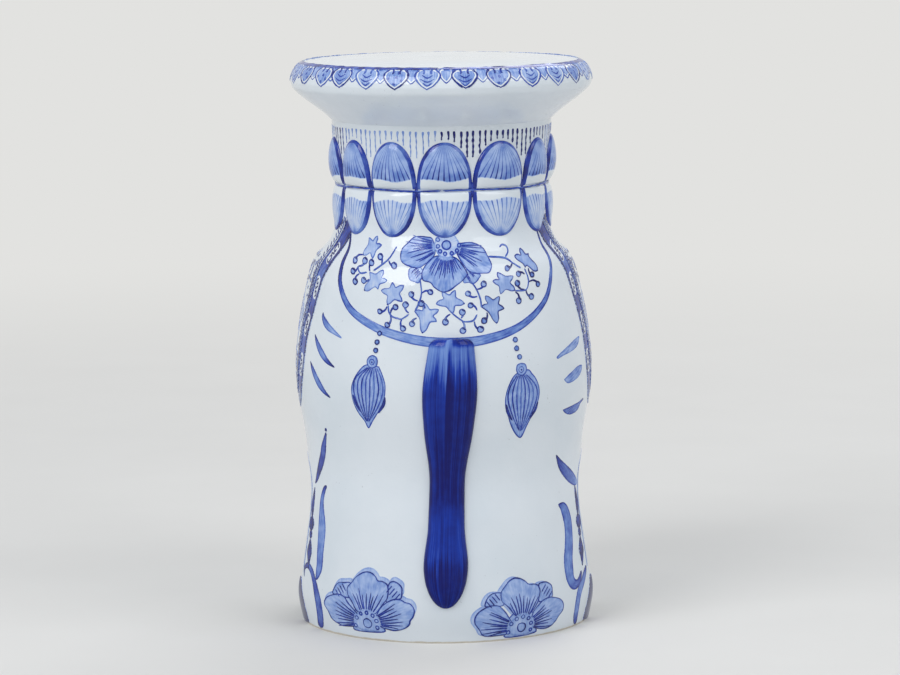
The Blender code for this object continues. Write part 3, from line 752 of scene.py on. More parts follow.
def smooth_line(rows, count, closed=False):
    """Evenly counted rows along a smooth line through the given rows.

    Each stretch is the cubic whose end slopes are half the step between its neighbours.
    """
    rows = np.asarray(rows, float)
    if closed:
        padded, last = np.concatenate((rows[-1:], rows, rows[:2])), len(rows)
    else:
        padded = np.concatenate((2.0 * rows[:1] - rows[1:2], rows, 2.0 * rows[-1:] - rows[-2:-1]))
        last = len(rows) - 1
    place = np.linspace(0.0, last, count)
    i = np.minimum(place.astype(int), last - 1)
    t = (place - i)[:, None]
    a, b, c, d = (padded[i + n] for n in range(4))
    curve = 2.0 * b + (c - a) * t + (2.0 * a - 5.0 * b + 4.0 * c - d) * t**2
    return 0.5 * (curve + (3.0 * b - a - 3.0 * c + d) * t**3)


def polar(pairs, centre=(0.0, 0.0), scale=1.0):
    """Points of a plane given as (degrees, reach) pairs from a centre."""
    turn, reach = np.array(pairs, float).T
    turn = np.radians(turn)
    return np.array(centre) + scale * np.stack((reach * np.cos(turn), reach * np.sin(turn)), axis=1)


def directions(line):
    """Unit steps ahead along a line of points, and to its left."""
    ahead = np.gradient(line, axis=0)
    ahead /= np.hypot(*ahead.T).clip(1e-9)[:, None]
    return ahead, np.stack((-ahead[:, 1], ahead[:, 0]), axis=1)


def run_along(line):
    """The way from the first point of a line to each of its points."""
    return np.concatenate(([0.0], np.cumsum(np.hypot(*np.diff(line, axis=0).T))))


def fan(origin=(0.0, 0.0)):
    """Map whose strokes run out from an origin."""

    def mapped(plane):
        x, y = plane[..., 0] - origin[0], plane[..., 1] - origin[1]
        return np.stack((np.arctan2(y, x) * FAN_SPREAD, np.hypot(x, y) * 0.1), axis=-1)

    return mapped


def straight(degrees):
    """Map whose strokes run in one direction of the plane."""
    turn = math.radians(degrees)
    ahead, beside = (math.cos(turn), math.sin(turn)), (-math.sin(turn), math.cos(turn))
    return lambda plane: np.stack((plane @ beside, plane @ ahead), axis=-1) * 0.1


class Drawing(Sheets):
    """Brushwork gathered shape by shape on one surface, in millimetres of the drawing's plane.

    Each shape becomes a thin closed sheet that lies on the glaze and is rooted under it. With it
    go the distance from its edge in millimetres, the load of the brush, and a map of its strokes.
    """

    def __init__(self, surface, radius, seed):
        super().__init__()
        self.surface, self.radius = surface, radius
        self.luck = np.random.default_rng(seed)
        self.at()

    def at(self, angle=0.0, height=0.0, turn=0.0, size=1.0, side=1.0):
        """Lays the plane's origin at an angle and a height, turned in degrees, sized or mirrored."""
        self.lay = angle, height, math.radians(turn), size, side
        return self

    def laid(self, plane, lift):
        angle, height, turn, size, side = self.lay
        x, y = plane[..., 0] * size * 0.001, plane[..., 1] * size * 0.001
        across = side * (x * math.cos(turn) - y * math.sin(turn))
        level = height + x * math.sin(turn) + y * math.cos(turn)
        return self.surface(angle + np.degrees(across / self.radius(level)), level, lift)

    def put(self, plane, uv, edge, tone, layer, borders):
        top, under = self.laid(plane, PAINT_LIFT + layer * LAYER_LIFT), self.laid(plane, -PAINT_ROOT)
        uv = uv + self.luck.random(2) * 9.0
        self.add(top, under, uv, borders, edge=edge * self.lay[3], tone=tone)
        return self

    def stroke(self, rows, tone=1.0, layer=1, across=2, step=1.2, half=1.0):
        """A stroke along a smooth line through rows of place, and maybe half width and tone.

        The half width goes to nothing at both ends as a circle does.
        """
        rows = np.array(rows, float)
        for columns, value in ((3, half), (4, tone)):
            if rows.shape[1] < columns:
                rows = np.column_stack((rows, np.broadcast_to(value, len(rows))))
        line = smooth_line(rows, max(6, int(run_along(rows[:, :2])[-1] / step) + 2))
        middle, half, tones = line[:, :2], line[:, 2].clip(0.02), line[:, 3:]
        run = run_along(middle)
        end = np.minimum(run, run[-1] - run) / half
        half = (half * np.sqrt((1.0 - (1.0 - end).clip(0.0) ** 2).clip(0.0)))[:, None]
        share = np.linspace(-1.0, 1.0, 2 * across + 1)
        plane = middle[:, None] + directions(middle)[1][:, None] * (half * share)[..., None]
        uv = np.stack((half * share, run[:, None] + 0.0 * share), axis=-1) * 0.1
        return self.put(plane, uv, half * (1.0 - np.abs(share)), tones, layer, FOUR_SIDES)

    def shape(self, outline, tone=1.0, layer=0, veins=None, centre=None, count=49):
        """A filled shape inside a smooth closed outline, as rings about its middle 3 mm apart."""
        outline = smooth_line(outline, count, closed=True)
        outline[-1] = outline[0]
        centre = outline[:-1].mean(axis=0) if centre is None else np.array(centre, float)
        reach = np.hypot(*(outline - centre).T).max()
        rings = np.append(np.linspace(0.0, 0.9, 2 + int(reach / 3.0)), 1.0)
        plane = centre + rings[:, None, None] * (outline - centre)
        uv = (veins or straight(90.0))(plane)
        return self.put(plane, uv, outline_distance(plane, outline), tone, layer, OUTER_RING)

    def dot(self, x, y, radius, tone=1.0, layer=1, count=17):
        reach = radius * (1.0 + 0.12 * (self.luck.random(8) - 0.5))
        outline = polar(np.column_stack((np.arange(0.0, 360.0, 45.0), reach)), (x, y))
        return self.shape(outline, tone, layer, count=count)

    def berry(self, x0, y0, x1, y1, radius, tone):
        """A round berry whose stalk curls out of it, from a place on the stem."""
        start = np.array((x0, y0))
        ahead = np.array((x1, y1)) - start
        beside = np.array((-ahead[1], ahead[0])) * (1.0 if self.luck.random() < 0.5 else -1.0)
        reach = radius / math.hypot(*ahead)
        end = start + ahead * (1.0 + 0.35 * reach)
        stalk = (start, start + 0.5 * ahead + 0.22 * beside, end + 0.45 * reach * beside)
        self.stroke(stalk, 1.25 * tone, step=0.7, half=(0.5, 0.75, 1.0))
        self.dot(*end, radius, 1.35 * tone, layer=2, count=25)
        crescent = polar(((0.0, 1.0), (55.0, 1.25), (115.0, 1.0)), end, 0.55 * radius)
        self.stroke(crescent, 1.5 * tone, layer=3, across=1, step=0.7, half=(0.3, 0.8, 0.3))


def on_body(seed):
    return Drawing(skin, body_radius, seed)


def mirrored(side, foot=(), top=()):
    """A closed outline: one side, levels at which it crosses the middle, the other side, more levels."""
    far_side = [(-x, y) for x, y in side[::-1]]
    return np.array([*side, *((0.0, y) for y in foot), *far_side, *((0.0, y) for y in top)])


def rotated(points, degrees):
    turn = math.radians(degrees)
    return np.array(points) @ ((math.cos(turn), math.sin(turn)), (-math.sin(turn), math.cos(turn)))


def vein_fan(lines, fans, sways, shares, halves, tone, layer, centre=(0.0, 0.0), scale=1.0):
    """Fans of veins. Each fan's numbers are the degrees that it spans, a count and two reaches.

    A vein starts at the near reach and ends at a share of the way to the far one. It sways from
    its place in the fan by some degrees, at its ends and at its middle.
    """
    luck = lines.luck
    for start, end, count, near, far in fans:
        for turn in np.linspace(start, end, count + 2)[1:-1]:
            turn = turn + luck.normal(0.0, sways[0])
            reach = near + (far - near) * (shares[0] + shares[1] * luck.random())
            bent = turn + luck.normal(0.0, sways[1])
            points = polar(((turn, near), (bent, 0.5 * (near + reach)), (turn, reach)), centre, scale)
            lines.stroke(points, tone, layer, across=1, half=halves)


# Border round the seat's rim

RIM_TOP = 0.4536
REAR_LAPPETS = (-50.7, -40.8, -28.9, -17.0, -5.0, 9.0, 22.3, 36.0, 49.2)
LAPPETS_AROUND = 20
LAPPET_SIDE = ((-8.0, -0.6), (-10.2, -4.4), (-9.6, -7.4), (-5.4, -12.0), (-0.5, -15.2))
BETWEEN_SIDE = ((-5.6, 0.0), (-5.0, -6.0), (-2.6, -9.0))
LAPPET_HOOK = ((4.8, -0.2, 0.4), (3.0, -1.3, 0.7), (2.8, -3.0, 0.85), (3.8, -3.8, 0.4))
LAPPET_EDGE = ((6.4, -1.2, 0.3), (10.0, -3.5, 0.6), (9.6, -7.1, 0.6), (5.2, -12.1, 0.45), (2.1, -14.3, 0.3))
LAPPET_DOTS = ((-6.3, -7.4), (0.3, -6.2), (4.6, -9.0), (-1.2, -11.2), (2.2, -3.2))
LAPPET_BOWS = ((-5.8, 4.6), (-8.8, 5.8), (-11.6, 3.8))


def rim_radius(height):
    """Arc to angle on the rim, as if it were upright: the lappets keep their width over it."""
    return 0.0 * height + SEAT_UNDER[-1][1]


class STOOL_OT_rim(bpy.types.Operator):
    """Border of heart-shaped lappets below the seat's edge"""

    bl_idname = "stool.rim"
    bl_label = "Rim Border"

    def execute(self, context):
        fills, lines = (Drawing(seat_skin, rim_radius, seed) for seed in (11, 12))
        luck = fills.luck
        lappet, between = mirrored(LAPPET_SIDE, top=(0.4,)), mirrored(BETWEEN_SIDE, foot=(-10.8,))
        around = np.linspace(REAR_LAPPETS[-1], REAR_LAPPETS[0] + 360.0, LAPPETS_AROUND + 2)
        angles = (*REAR_LAPPETS, *around[1:])
        for angle, next_angle in zip(angles, angles[1:]):
            tall = luck.normal(1.0, 0.03)
            load = 0.80 + 0.45 * luck.random()
            fills.at(0.5 * (angle + next_angle), RIM_TOP)
            fills.shape(between * (0.9 + 0.2 * luck.random(), tall), 0.95, layer=1, count=41)
            wobble = luck.normal(0.0, 0.22, lappet.shape)
            fills.at(angle, RIM_TOP).shape(lappet * (1.0, tall) + wobble, load, layer=2, count=65)
            lines.at(angle, RIM_TOP)
            for side in (-1.0, 1.0):
                lines.stroke(np.array(LAPPET_HOOK) * (side, 1.0, 1.0), 0.85 * load, layer=4, step=0.7)
                lines.stroke(np.array(LAPPET_EDGE) * (side, 1.0, 1.0), 0.85 * load, layer=4, step=1.0)
            if luck.random() < 0.5:
                for x, y in LAPPET_DOTS:
                    lines.dot(x + luck.normal(0.0, 0.3), y, 1.15, 0.75, layer=4, count=13)
            else:
                for depth, reach in LAPPET_BOWS:
                    bow = ((-reach, depth + 1.4, 0.25), (0.0, depth - 0.9, 0.55), (reach, depth + 1.4, 0.25))
                    lines.stroke(bow, 0.75, layer=4, step=1.0)
        run = np.radians(np.arange(0.0, 361.0, 2.0)) * 1000.0 * SEAT_UNDER[-1][1]
        n = len(run)
        band = (run, luck.normal(-3.4, 0.15, n), luck.normal(3.1, 0.2, n), luck.normal(0.62, 0.08, n))
        edge = (run, luck.normal(0.0, 0.1, n), luck.uniform(0.62, 0.9, n), luck.uniform(0.82, 1.02, n))
        lines.at(0.0, RIM_TOP).stroke(np.column_stack(band), layer=0, across=3, step=3.0)
        lines.stroke(np.column_stack(edge), layer=4, step=3.0)
        fills.piece("rim_lappets", leaf_glaze("lappet_paint", 0.80, 0.40, width=0.8, gap=1.1))
        lines.piece("rim_lines", line_glaze("rim_brush", 0.86))
        return {"FINISHED"}


# Dashes round the neck, and the line under them

DASH_TOP = 0.4032
DASHES = 109
DASH_GAP = 1.6
DASH_LENGTHS = 6.0, 21.5
BEAD_LENGTH = 2.3
STRONG, FAINT = 1.15, 0.1
STRONG_BEFORE, FAINT_AFTER = 62.0, 308.0
COLLAR_STEPS = 181
PETAL_JOIN = ((0.0, -5.5, 0.5), (0.1, -2.0, 1.1), (-0.1, 2.0, 1.2), (0.0, 6.5, 0.5))


def petal_top(angle):
    """Height of the upper petals' outline at an angle.

    It falls from the tip with a power of the place across the petal, which is 0 in its middle and
    1 where it meets the next.
    """
    edges = petal_edges()
    turned = (angle - edges[0]) % 360.0 + edges[0]
    n = np.clip(np.searchsorted(edges, turned) - 1, 0, len(edges) - 2)
    across = np.abs(2.0 * turned - edges[n] - edges[n + 1]) / (edges[n + 1] - edges[n])
    rise = (1.0 - across.clip(0.0, 0.999) ** 2) ** (1.0 / PETAL_POWER)
    return PETAL_LINE + (UPPER_PETAL_TIP - PETAL_LINE) * rise


class STOOL_OT_neck(bpy.types.Operator):
    """Beaded dashes above the petals, and the line round the collar"""

    bl_idname = "stool.neck"
    bl_label = "Neck Brushwork"

    def execute(self, context):
        dashes = Drawing(neck_skin, neck_radius, 21)
        luck = dashes.luck
        strong = 1.0
        for n in range(DASHES):
            angle = n * 360.0 / DASHES + luck.normal(0.0, 0.22)
            mixed = STRONG if luck.random() < 0.55 else FAINT
            target = STRONG if angle < STRONG_BEFORE else FAINT if angle > FAINT_AFTER else mixed
            strong = 0.55 * strong + 0.45 * target
            room = 1000.0 * (DASH_TOP - float(petal_top(angle))) - DASH_GAP
            length = min(max(room, DASH_LENGTHS[0]), DASH_LENGTHS[1])
            beads = max(3, int(length / BEAD_LENGTH))
            rows = [(0.0, 0.0, 0.75), (0.0, -1.0, 1.0)]
            for bead in range(1, beads + 1):
                thick = (0.42 + 0.36 * strong) * (1.25 if bead % 2 else 0.62) * luck.normal(1.0, 0.12)
                rows.append((luck.normal(0.0, 0.16), -1.0 - (length - 1.0) * bead / beads, thick))
            dashes.at(angle, DASH_TOP + luck.normal(0.0, 0.0003))
            dashes.stroke(rows, 0.36 + 0.78 * min(strong, 0.9), across=1, step=0.9)
        dashes.piece("neck_dashes", line_glaze("dash_brush", 0.95))
        line = on_body(22)
        rows = []
        for n in range(COLLAR_STEPS):
            run = math.radians(n * 2.0) * 1000.0 * COLLAR_RADIUS
            wave = 0.35 * math.sin(n * 0.21) + luck.normal(0.0, 0.09)
            rows.append((run, wave, 0.55 + 0.25 * luck.random(), 0.72 + 0.25 * luck.random()))
        line.at(0.0, PETAL_LINE).stroke(rows, layer=12, step=3.0)
        for edge in petal_edges()[:-1]:
            line.at(edge, PETAL_LINE).stroke(PETAL_JOIN, layer=8)
        line.piece("collar_line", line_glaze("collar_brush", 0.85))
        return {"FINISHED"}


# Flap of the saddle cloth on the rump

# Degrees, height in millimetres, half width and tone along the border
FLAP_BORDER = (
    (-57.1, 322, 1.2, 0.95), (-53.6, 309, 1.5, 0.95), (-50.5, 296, 2, 0.9), (-48, 281, 2.5, 0.85),
    (-40.4, 263.5, 3, 0.6), (-27, 250.4, 3.4, 0.52), (-12.4, 242.6, 3.8, 0.5), (0.6, 239.9, 4, 0.52),
    (15.7, 241.4, 3.8, 0.58), (31.7, 250.2, 3.1, 0.66), (46.1, 268, 2.5, 0.74), (53.4, 288, 1.9, 0.66),
    (57.2, 300, 1.5, 0.72), (59.3, 310, 1.3, 0.8), (59.6, 321, 1.1, 0.9),
)
FLOWER_PLACE = (3.2, 313.8)
# Layer, tone and outline of each petal, as degrees and reach round the flower's place
FLAP_PETALS = (
    (0, 0.8, (
        (212, 430), (209.9, 542), (213.7, 595), (220.5, 631), (226.3, 608), (232.1, 570), (228, 440),
    )),
    (0, 0.85, (
        (-44, 400), (-39.5, 558), (-43.6, 580), (-49.8, 589), (-55.2, 578), (-58.4, 534), (-65, 497),
        (-58, 400),
    )),
    (1, 1, (
        (157.6, 184), (157.6, 279), (166, 422), (178, 510), (184, 575), (191, 612), (198, 620),
        (204, 585), (208, 546), (213, 499), (218.5, 420), (219, 190),
    )),
    (1, 0.95, (
        (4.4, 130), (7.5, 192), (4.2, 341), (-4.9, 472), (-13.8, 546), (-21.5, 629), (-26.4, 653),
        (-32.1, 649), (-36.7, 586), (-43.4, 509), (-48.8, 425), (-43, 180),
    )),
    (2, 1.05, (
        (225, 175), (220.2, 341), (225.9, 460), (231.8, 509), (236, 519), (245, 497), (252.6, 534),
        (263.9, 568), (274.2, 551), (283.8, 504), (293.4, 479), (301.6, 458), (308.5, 434), (308.7, 192),
    )),
)
FLOWER_SCALE = 0.062
# First and last degrees, count, near and far reach of each fan of veins
FLAP_FANS = (
    (160.0, 215.0, 9, 175.0, 540.0), (2.0, -42.0, 9, 180.0, 540.0), (226.0, 306.0, 15, 175.0, 440.0),
    (213.0, 228.0, 4, 450.0, 590.0), (-43.0, -60.0, 4, 430.0, 545.0),
)
DARK_SIDE = 33.0
POINT_WIDTH = 14
POINT_SHOULDER = 0.80
HOLLOW_SHARE = 0.275
FLOWER_DOTS = ((149, 128), (188, 111), (222.5, 111), (259, 107), (303, 119), (331.7, 148), (358, 160))
# Middle of each leaf, and its five tips as degrees and reach
STAR_LEAVES = (
    (-59.2, 311.4, ((-145, 11.8), (-86, 9.1), (9, 9), (61, 9.3), (124, 7.8))),
    (-54.6, 286.6, ((-144, 13.9), (-77, 7), (3, 9.7), (52, 10.6), (137, 8.8))),
    (-39.7, 277.8, ((-119, 10.7), (-41, 10), (34, 10.7), (95, 8.3), (172, 10.7))),
    (-12.4, 260.9, ((-107, 14.2), (-32, 8.9), (27, 10.3), (103, 10.2), (161, 10.8))),
    (5.6, 272.2, ((-168, 11.4), (-79, 10.4), (-12, 11.6), (63, 9.2), (133, 9.3))),
    (71.4, 300.4, ((-100, 6.3), (-37, 15.5), (42, 6), (120, 9.7), (164, 11.4))),
    (49.8, 284.3, ((-110, 9.1), (-33, 11.9), (28, 9.8), (124, 10.1), (169, 10))),
    (40.5, 266.9, ((-79, 13.7), (-15, 9.6), (55, 9.1), (129, 10.7), (180, 10.3))),
)
FLAP_STEMS = (
    ((-36.7, 312.5), (-43.2, 303.6), (-50, 298.5), (-57.5, 293.8)),
    ((-72.6, 296.5), (-71.6, 293), (-69, 291.4), (-63, 292.6)),
    ((-44, 268.5), (-43.6, 263.5), (-41, 259.8), (-36.5, 258.4), (-32.8, 258), (-26.5, 262)),
    ((-17.8, 288.5), (-16.8, 278.5), (-18.6, 271), (-22, 264.2)),
    ((19.5, 290), (26, 281.5), (29.6, 273), (30.6, 266)),
    ((6.5, 263), (14.1, 257.2), (17.5, 255.8), (23.8, 256.6), (27, 261.4)),
    ((36.5, 304.4), (51, 302.7), (58.6, 298.6), (66, 294.4)),
    ((69.5, 294), (72.9, 285), (70.1, 277.7), (59.7, 277.6)),
    ((51.5, 303), (54.6, 307), (53.2, 311), (49.4, 312.4), (46.8, 310.4)),
)
# Start on the stem and middle of each berry
BERRIES = (
    (-68.9, 304.8, -75.5, 301), (-72.5, 296.5, -66.8, 300.3), (-72.5, 296.5, -77, 293),
    (-60.5, 293, -59.5, 298.8), (-70.8, 291, -74.4, 285.6), (-61, 287.5, -65.4, 286.4),
    (-50, 299, -51.2, 303.4), (-43.8, 302, -39.8, 299), (-44.8, 267.5, -50.6, 263.6),
    (-42.2, 261.5, -38.4, 266.2), (-42.2, 261, -44.6, 253.8), (-32.8, 258, -32, 251.6),
    (-27, 262.5, -29.2, 268.2), (-19.5, 272, -24.2, 276.4), (-20.5, 259, -24, 255),
    (-16.8, 278, -10.6, 278.8), (-14, 266, -16.6, 269.4), (5.8, 262, 2.4, 256.6),
    (14, 258.5, 14.9, 262.4), (15, 256.5, 15.4, 250), (24.5, 256, 28.9, 250.4), (27, 264, 22.4, 267.8),
    (27.5, 275, 20.6, 277.2), (27, 280.5, 31.8, 283.8), (35, 262.5, 33, 257), (58, 299, 53.8, 295.6),
    (69.5, 289.5, 64.2, 290.2), (73.5, 294, 76.6, 289.4), (73, 283.5, 82, 281.2),
    (69.4, 277.7, 62.8, 282.6), (70, 277.5, 74.8, 272.8), (59.7, 277, 62.6, 270.6),
)


def by_angle(rows):
    """Rows whose first number is an angle and second a height in millimetres, in the plane."""
    rows = np.array(rows, float)
    rows[:, 0] = np.radians(rows[:, 0]) * 1000.0 * body_radius(rows[:, 1] * 0.001)
    return rows


def star_outline(tips):
    """Five soft points with hollows between them, from the (degrees, reach) of each tip."""
    pairs = []
    for (turn, reach), (turn_after, reach_after) in zip(tips, (*tips[1:], (tips[0][0] + 360, tips[0][1]))):
        shoulder = POINT_SHOULDER * reach
        pairs += [(turn - POINT_WIDTH, shoulder), (turn, reach), (turn + POINT_WIDTH, shoulder)]
        pairs.append((0.5 * (turn + turn_after), HOLLOW_SHARE * (reach + reach_after)))
    return pairs


class STOOL_OT_flap(bpy.types.Operator):
    """Rounded flap on the rump: its border, flower, star leaves, tendrils and berries"""

    bl_idname = "stool.flap"
    bl_label = "Flap on the Rump"

    def execute(self, context):
        border = on_body(31).stroke(by_angle(FLAP_BORDER), across=3, step=1.5)
        border.piece("flap_border", line_glaze("border_brush", 0.92, pool=0.22, pool_width=1.6, streaks=0.5))
        leaves, lines = on_body(32), on_body(33)
        for x, y, tips in STAR_LEAVES:
            tone = (1.2 if x > DARK_SIDE else 0.9) + 0.15 * leaves.luck.random()
            leaves.shape(polar(star_outline(tips), (x, y)), tone, centre=(x, y), count=81)
            longest = max(tips, key=lambda tip: tip[1])
            lines.dot(*polar((longest,), (x, y), 0.96)[0], 0.75, count=9)
        for x0, y0, x1, y1 in BERRIES:
            dark = 1.25 if x0 > DARK_SIDE else 0.95
            leaves.berry(x0, y0, x1, y1, 2.35 + 0.5 * leaves.luck.random(), dark)
        for stem in FLAP_STEMS:
            rows = [(x, y, 0.55 + 0.2 * lines.luck.random()) for x, y in stem]
            lines.stroke(rows, 0.8, layer=2, across=1)
        leaves.piece("flap_leaves", leaf_glaze("leaf_paint", 0.72, 0.31, width=0.80, streaks=0.10))
        lines.piece("flap_tendrils", line_glaze("tendril_brush", 0.8))
        self.flower()
        return {"FINISHED"}

    def flower(self):
        petals, veins = on_body(34), on_body(35)
        rays = fan(FLOWER_PLACE)
        for layer, tone, outline in FLAP_PETALS:
            petals.shape(polar(outline, FLOWER_PLACE, FLOWER_SCALE), tone, layer, rays, count=97)
        turn = np.arange(0.0, 360.0, 15.0)
        reach = 158.0 + 6.0 * np.sin(np.radians(turn * 8.0))
        petals.shape(polar(np.column_stack((turn, reach)), FLOWER_PLACE, FLOWER_SCALE), 0.55, 3, rays)
        for spot in polar(FLOWER_DOTS, FLOWER_PLACE, FLOWER_SCALE):
            petals.dot(*spot, 1.85, 0.9, layer=5)
        petals.dot(*FLOWER_PLACE, 3.9, 0.95, layer=5, count=33)
        halves = (0.55, 0.52, 0.28)
        vein_fan(veins, FLAP_FANS, (0.9, 1.0), (0.55, 0.42), halves, 0.76, 4, FLOWER_PLACE, FLOWER_SCALE)
        petals.piece("flap_flower", leaf_glaze("flower_paint", 0.86, 0.41, width=0.85, streaks=0.16))
        veins.piece("flap_flower_veins", line_glaze("vein_brush", 0.92))


# Tassels that hang from the flap

# Degrees and height of each ring in metres, its beads, and its outline in millimetres
TASSELS = (
    (-27.9, 0.2237, ((5.3, 22.5), (3.4, 15.6), (2.6, 9.1)), (
        (4.8, -3.2), (6.7, -4.6), (10.4, -12.7), (11.8, -19.6), (10.5, -29.1), (7, -36.3), (-1, -47.4),
        (-5.9, -53.9), (-9.3, -48), (-14.1, -42.5), (-18.3, -34.6), (-20, -26.4), (-19.4, -19.3),
        (-14.9, -10.8), (-6.5, -2.7),
    )),
    (30.7, 0.2165, ((-4, 23.5), (-3.4, 16.6), (-1.2, 9.9)), (
        (5.6, -0.5), (10.5, -4.4), (14.8, -10), (17.5, -17.4), (17.1, -25.6), (13.3, -34.7), (7.5, -45.9),
        (3.9, -53.9), (1.2, -55.8), (-2.9, -52.7), (-7.6, -45.8), (-11.2, -37.2), (-14, -29.9),
        (-14.5, -21.7), (-12, -12.5), (-5.8, -3.6),
    )),
)


def tassel(fills, lines, beads, outline):
    """Bud of thread under a ring, streaked from the ring to its tip, on a string of beads."""
    luck = lines.luck
    outline = np.array(outline)
    left, right = outline[:, 0].min(), outline[:, 0].max()
    tip = outline[outline[:, 1].argmin()]
    fills.shape(outline, 1.0, count=81)
    for share in np.arange(0.5, 8.0) / 8.0:
        wide = left + (right - left) * share
        rows = (
            ((share - 0.5) * 9.0, -4.4, 0.45),
            (0.82 * wide, -13.0, 0.62),
            (0.97 * wide, -22.5, 0.66),
            (0.68 * wide + 0.32 * tip[0], -35.0, 0.6),
            (tip[0] + (share - 0.5) * 2.5, tip[1] + 5.5, 0.3),
        )
        lines.stroke(rows, 0.58 + 0.3 * luck.random(), layer=2, across=1)
    for edge in (left, right):
        low = (0.5 * edge + 0.3 * tip[0], -41.0, 0.6)
        lines.stroke(((0.93 * edge, -27.0, 0.5), (0.80 * edge, -33.5, 1.3), low), 0.95, layer=3)
    fills.dot(0.0, 0.0, 5.1, layer=4, count=33)
    fills.dot(-0.2, -0.2, 2.6, 0.95, layer=5)
    lines.dot(-0.2, -0.4, 0.8, 0.9, layer=7, count=9)
    for x, y in beads:
        fills.dot(x, y, 2.1 + 0.2 * luck.random(), 1.2, layer=6)


class STOOL_OT_tassels(bpy.types.Operator):
    """Two tassels on beads, left and right of the tail"""

    bl_idname = "stool.tassels"
    bl_label = "Tassels"

    def execute(self, context):
        fills, lines = on_body(41), on_body(42)
        for angle, height, beads, outline in TASSELS:
            tassel(fills.at(angle, height), lines.at(angle, height), beads, outline)
        fills.piece("tassels", leaf_glaze("tassel_paint", 0.84, 0.43, width=0.8, streaks=0.16))
        lines.piece("tassel_lines", line_glaze("tassel_brush", 0.92))
        return {"FINISHED"}


# Legs: creases, knees, long strokes, toenails and chains

# Millimetres along and up, half width and tone, row by row down each stroke
CREASES = (
    (
        (-112.9, 257.9, 0.4, 0.9), (-112.6, 254.6, 1.8, 0.8), (-109.9, 250.9, 2.9, 0.62),
        (-104.9, 247.3, 3, 0.52), (-97.6, 244, 2, 0.42), (-88, 239.9, 0.5, 0.3),
    ),
    (
        (-124.3, 239.7, 0.4, 0.9), (-121.8, 235.7, 1.8, 0.75), (-117.6, 230.5, 2.9, 0.62),
        (-111.8, 224.9, 3.1, 0.62), (-105, 220.1, 2.1, 0.72), (-96.2, 216.2, 0.5, 0.85),
    ),
    (
        (-131.1, 217.8, 0.4, 0.9), (-126.8, 211.7, 2.3, 0.72), (-121.8, 205.9, 2.9, 0.58),
        (-116.2, 200.4, 3, 0.62), (-109.9, 195.5, 2, 0.72), (-102, 191.2, 0.5, 0.85),
    ),
    (
        (-110.6, 161.5, 0.9, 1), (-113.2, 155.3, 2.2, 0.8), (-116.3, 147.4, 3.9, 0.82),
        (-118.6, 140.9, 4.2, 0.84), (-122.2, 134, 4.3, 0.88), (-126.2, 127.2, 3.6, 0.92),
        (-129.8, 120.4, 2.3, 0.96), (-132.8, 116.3, 0.5, 1),
    ),
    (
        (103, 142, 0.5, 0.9), (109.2, 133.5, 3.6, 0.8), (116.5, 127.2, 5, 0.72),
        (125.5, 121.3, 5.4, 0.72), (133.5, 116.9, 4.2, 0.62), (139, 114.6, 1.8, 0.5),
    ),
)
# Tone and outline
CREASE_LEAVES = (
    (0.92, (
        (137.7, 234.8), (136.7, 231), (133.9, 228.3), (128.6, 225.9), (119.5, 224), (111.5, 222.8),
        (106.4, 221.6), (102.9, 220.8), (101.5, 222.2), (104, 224), (110.7, 226.9), (118.7, 229.9),
        (127.9, 233),
    )),
    (1, (
        (137.9, 211.9), (141.2, 210.9), (140.2, 207.3), (134.6, 203.1), (126.2, 200.6), (120, 199.7),
        (115.4, 199.9), (111, 203), (112.1, 204.1), (117.7, 206.8), (123.7, 208.8), (130.4, 211.1),
    )),
    (1.35, (
        (146.2, 183.4), (147.2, 181.8), (140.7, 179.6), (137.5, 176.3), (132.8, 174.2), (124.5, 173),
        (118.3, 173.6), (113.7, 175.3), (110.2, 178), (111.4, 178.9), (118.1, 179.7), (128.2, 180.8),
        (137.2, 181.7),
    )),
)
LEG_STROKES = (
    (
        (-111.8, 117.4, 0.9, 1.05), (-115.1, 114.6, 2.2, 0.8), (-118, 107.6, 2.6, 0.66),
        (-118.6, 100.7, 3.2, 0.62), (-117.8, 92.2, 4.6, 0.58), (-117.3, 83.7, 5.5, 0.54),
        (-117.8, 74.3, 5.2, 0.54), (-118.8, 63.9, 4.8, 0.62), (-119.4, 53.6, 4.4, 0.62),
        (-121.5, 47.4, 3.4, 0.7), (-124.4, 41.1, 1, 0.85),
    ),
    (
        (104.2, 102.3, 0.6, 0.9), (110.4, 99.3, 4.2, 0.66), (114.2, 94, 5.4, 0.66),
        (116.9, 86.3, 5.7, 0.62), (117.5, 77.6, 5.7, 0.6), (116.8, 67.5, 6, 0.62),
        (115.2, 57.6, 6.2, 0.62), (115.9, 48.4, 6, 0.64), (117.6, 41.4, 5.2, 0.66),
        (121.8, 36.6, 4.6, 0.72), (127.6, 35.8, 3.6, 0.8), (132.6, 39.4, 2.6, 0.8), (135.8, 45, 1.4, 0.9),
    ),
    (
        (-147.4, 40, 0.6, 0.95), (-147.6, 45.5, 1.2, 0.9), (-144, 49.2, 2, 0.85),
        (-138.6, 50.2, 2.6, 0.78), (-132.6, 47.3, 3, 0.72), (-128, 40.6, 3.2, 0.78),
        (-124.3, 31.8, 4.1, 0.78), (-121.4, 23.8, 4.7, 0.72), (-120.2, 15.3, 4.8, 0.7),
        (-120.2, 8.2, 4.8, 0.8), (-120.8, 1.2, 4.8, 0.95),
    ),
    (
        (146.5, 47.5, 1.2, 0.9), (143.2, 42.4, 3, 0.72), (138.1, 35.9, 3.7, 0.66), (132.9, 30.5, 4, 0.62),
        (129.9, 24.6, 3.9, 0.62), (128.2, 16.3, 3.9, 0.64), (127.1, 7.7, 3.8, 0.72), (127.6, 1, 2.6, 0.9),
    ),
)
TOE_FILL = (
    (156.5, 38), (152.4, 26), (148, 13), (144, 3), (145, 1), (163, 1), (166.5, 12), (165, 26),
    (160.5, 36),
)
